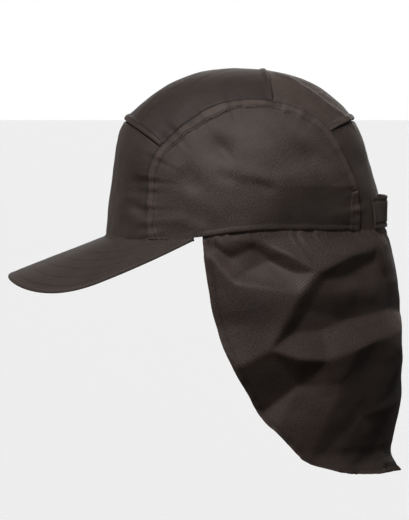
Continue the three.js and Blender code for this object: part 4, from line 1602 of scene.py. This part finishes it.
def world():
    """A studio that the camera sees as plain white. As light it is bright all round at eye level only."""
    pale = bpy.data.worlds.new("pale_studio")
    pale.use_nodes = True
    tree = pale.node_tree
    way = add_node(tree, "TexCoord").outputs["Generated"]
    up = add_node(tree, "SeparateXYZ", {"Vector": way}).outputs["Z"]
    above = stretched(tree, up, WORLD_ABOVE_FROM, WORLD_ABOVE_TO, 1.0, WORLD_ABOVE)
    below = stretched(tree, up, WORLD_BELOW_FROM, 0.0, WORLD_BELOW, 1.0)
    level = add_node(tree, "Math", {0: above, 1: below}, operation="MULTIPLY").outputs["Value"]
    dimmed = add_node(tree, "Math", {0: level, 1: WORLD_LEVEL}, operation="MULTIPLY").outputs["Value"]
    seen = add_node(tree, "LightPath").outputs["Is Camera Ray"]
    strength = stretched(tree, seen, 0.0, 1.0, dimmed, 1.0)
    tree.links.new(strength, tree.nodes["Background"].inputs["Strength"])
    tree.nodes["Background"].inputs["Color"].default_value = linear("#ffffff")
    bpy.context.scene.world = pale


def camera():
    place = PHOTO_MIDDLE + around(CAMERA_AZIMUTH, CAMERA_HEIGHT, CAMERA_DISTANCE)
    bpy.ops.object.camera_add(location=place)
    made = bpy.context.object
    made.name = "photo_camera"
    made.data.sensor_width = SENSOR
    made.data.lens = SENSOR * CAMERA_DISTANCE / (max(IMAGE) * PIXEL)
    aim(made, PHOTO_MIDDLE)
    bpy.context.scene.camera = made


def studio():
    camera()
    floor()
    world()
    sun("key_softbox", *KEY_SUN)
    sun("fill_behind", *FILL_SUN)
    bpy.context.scene.view_settings.view_transform = "Standard"


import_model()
bpy.ops.object.select_all(action="DESELECT")
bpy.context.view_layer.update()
studio()

# Faded cotton twill gives a matt brown black with pale flecks and edges. The top panels are cut in other
# directions; the sheen this turned grain would give is painted into their colours, darker on the front one
# and lighter on the back one. The peak and strap are drier, the flap is the softest.
CLOTH = {
    "front": cloth_material("front_panel_faded_twill", "#2f2824", "#483d37"),
    # Painted shade on the front top panel and painted sheen on the back one, in their colours
    "top_front": cloth_material("top_front_twill_painted_shade", "#2b2422", "#443834", grain=-45),
    "top_back": cloth_material("top_back_twill_painted_sheen", "#3a312c", "#584b45", grain=40),
    "side": cloth_material("side_panel_faded_twill", "#362e2a", "#544842"),
    "back": cloth_material("back_panel_faded_twill", "#2f2723", "#493e38"),
    "peak": cloth_material("peak_cover_twill", "#2f2825", "#463c37", rough=0.7, sheen=0.2),
    "strap": cloth_material("strap_twill", "#302925", "#483f3a", rough=0.7),
    "thread": cloth_material("dark_sewing_thread", "#2a2320", "#544943", rough=0.5, depth=0.00005),
    "flap": cloth_material("flap_satin_twill", "#2e2623", "#473a34", rough=0.6, sheen=0.25),
}


def place_piece(piece, node, material):
    """Gives a piece its material, hangs it on the root body, and hides the CAD node that it stands for."""
    piece.data.materials.clear()
    piece.data.materials.append(material)
    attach(piece, "root")
    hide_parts(node)
    return piece


place_piece(front_panel(), "front_panel", CLOTH["front"])
place_piece(top_panel_front(), "top_panel_front", CLOTH["top_front"])
place_piece(top_panel_back(), "top_panel_back", CLOTH["top_back"])
place_piece(back_panel(), "back_panel", CLOTH["back"])
place_piece(side_panel("side_left", 1), "side_panel_left", CLOTH["side"])
place_piece(side_panel("side_right", -1), "side_panel_right", CLOTH["side"])
place_piece(peak(), "peak", CLOTH["peak"])
place_piece(back_strap(), "back_strap", CLOTH["strap"])
flap = place_piece(neck_flap(), "neck_flap", CLOTH["flap"])

for name, side in (("side_left", 1), ("side_right", -1)):
    stitches(name + "_stitches", [
        band_row(side, lambda along: band_width(along) - STITCH_IN),
        band_row(side, lambda along: 0 * along + EDGE_ROW),
        hem_row(name, side),
    ])
stitches("top_stitches", [
    lip_row("top_panel_front_cloth", FRONT_SEAM, FRONT_LIP, CROSS_LIP, 1),
    lip_row("top_panel_front_cloth", CROWN_SEAM, FRONT_LIP, CROSS_LIP, -1),
    lip_row("top_panel_back_cloth", BACK_SEAM, CROSS_LIP, BACK_LIP, -1),
])
stitches("peak_stitches", [peak_row(index) for index in range(PEAK_ROWS)])
stitches("flap_stitches", flap_rows())
stitches("strap_stitches", strap_rows())
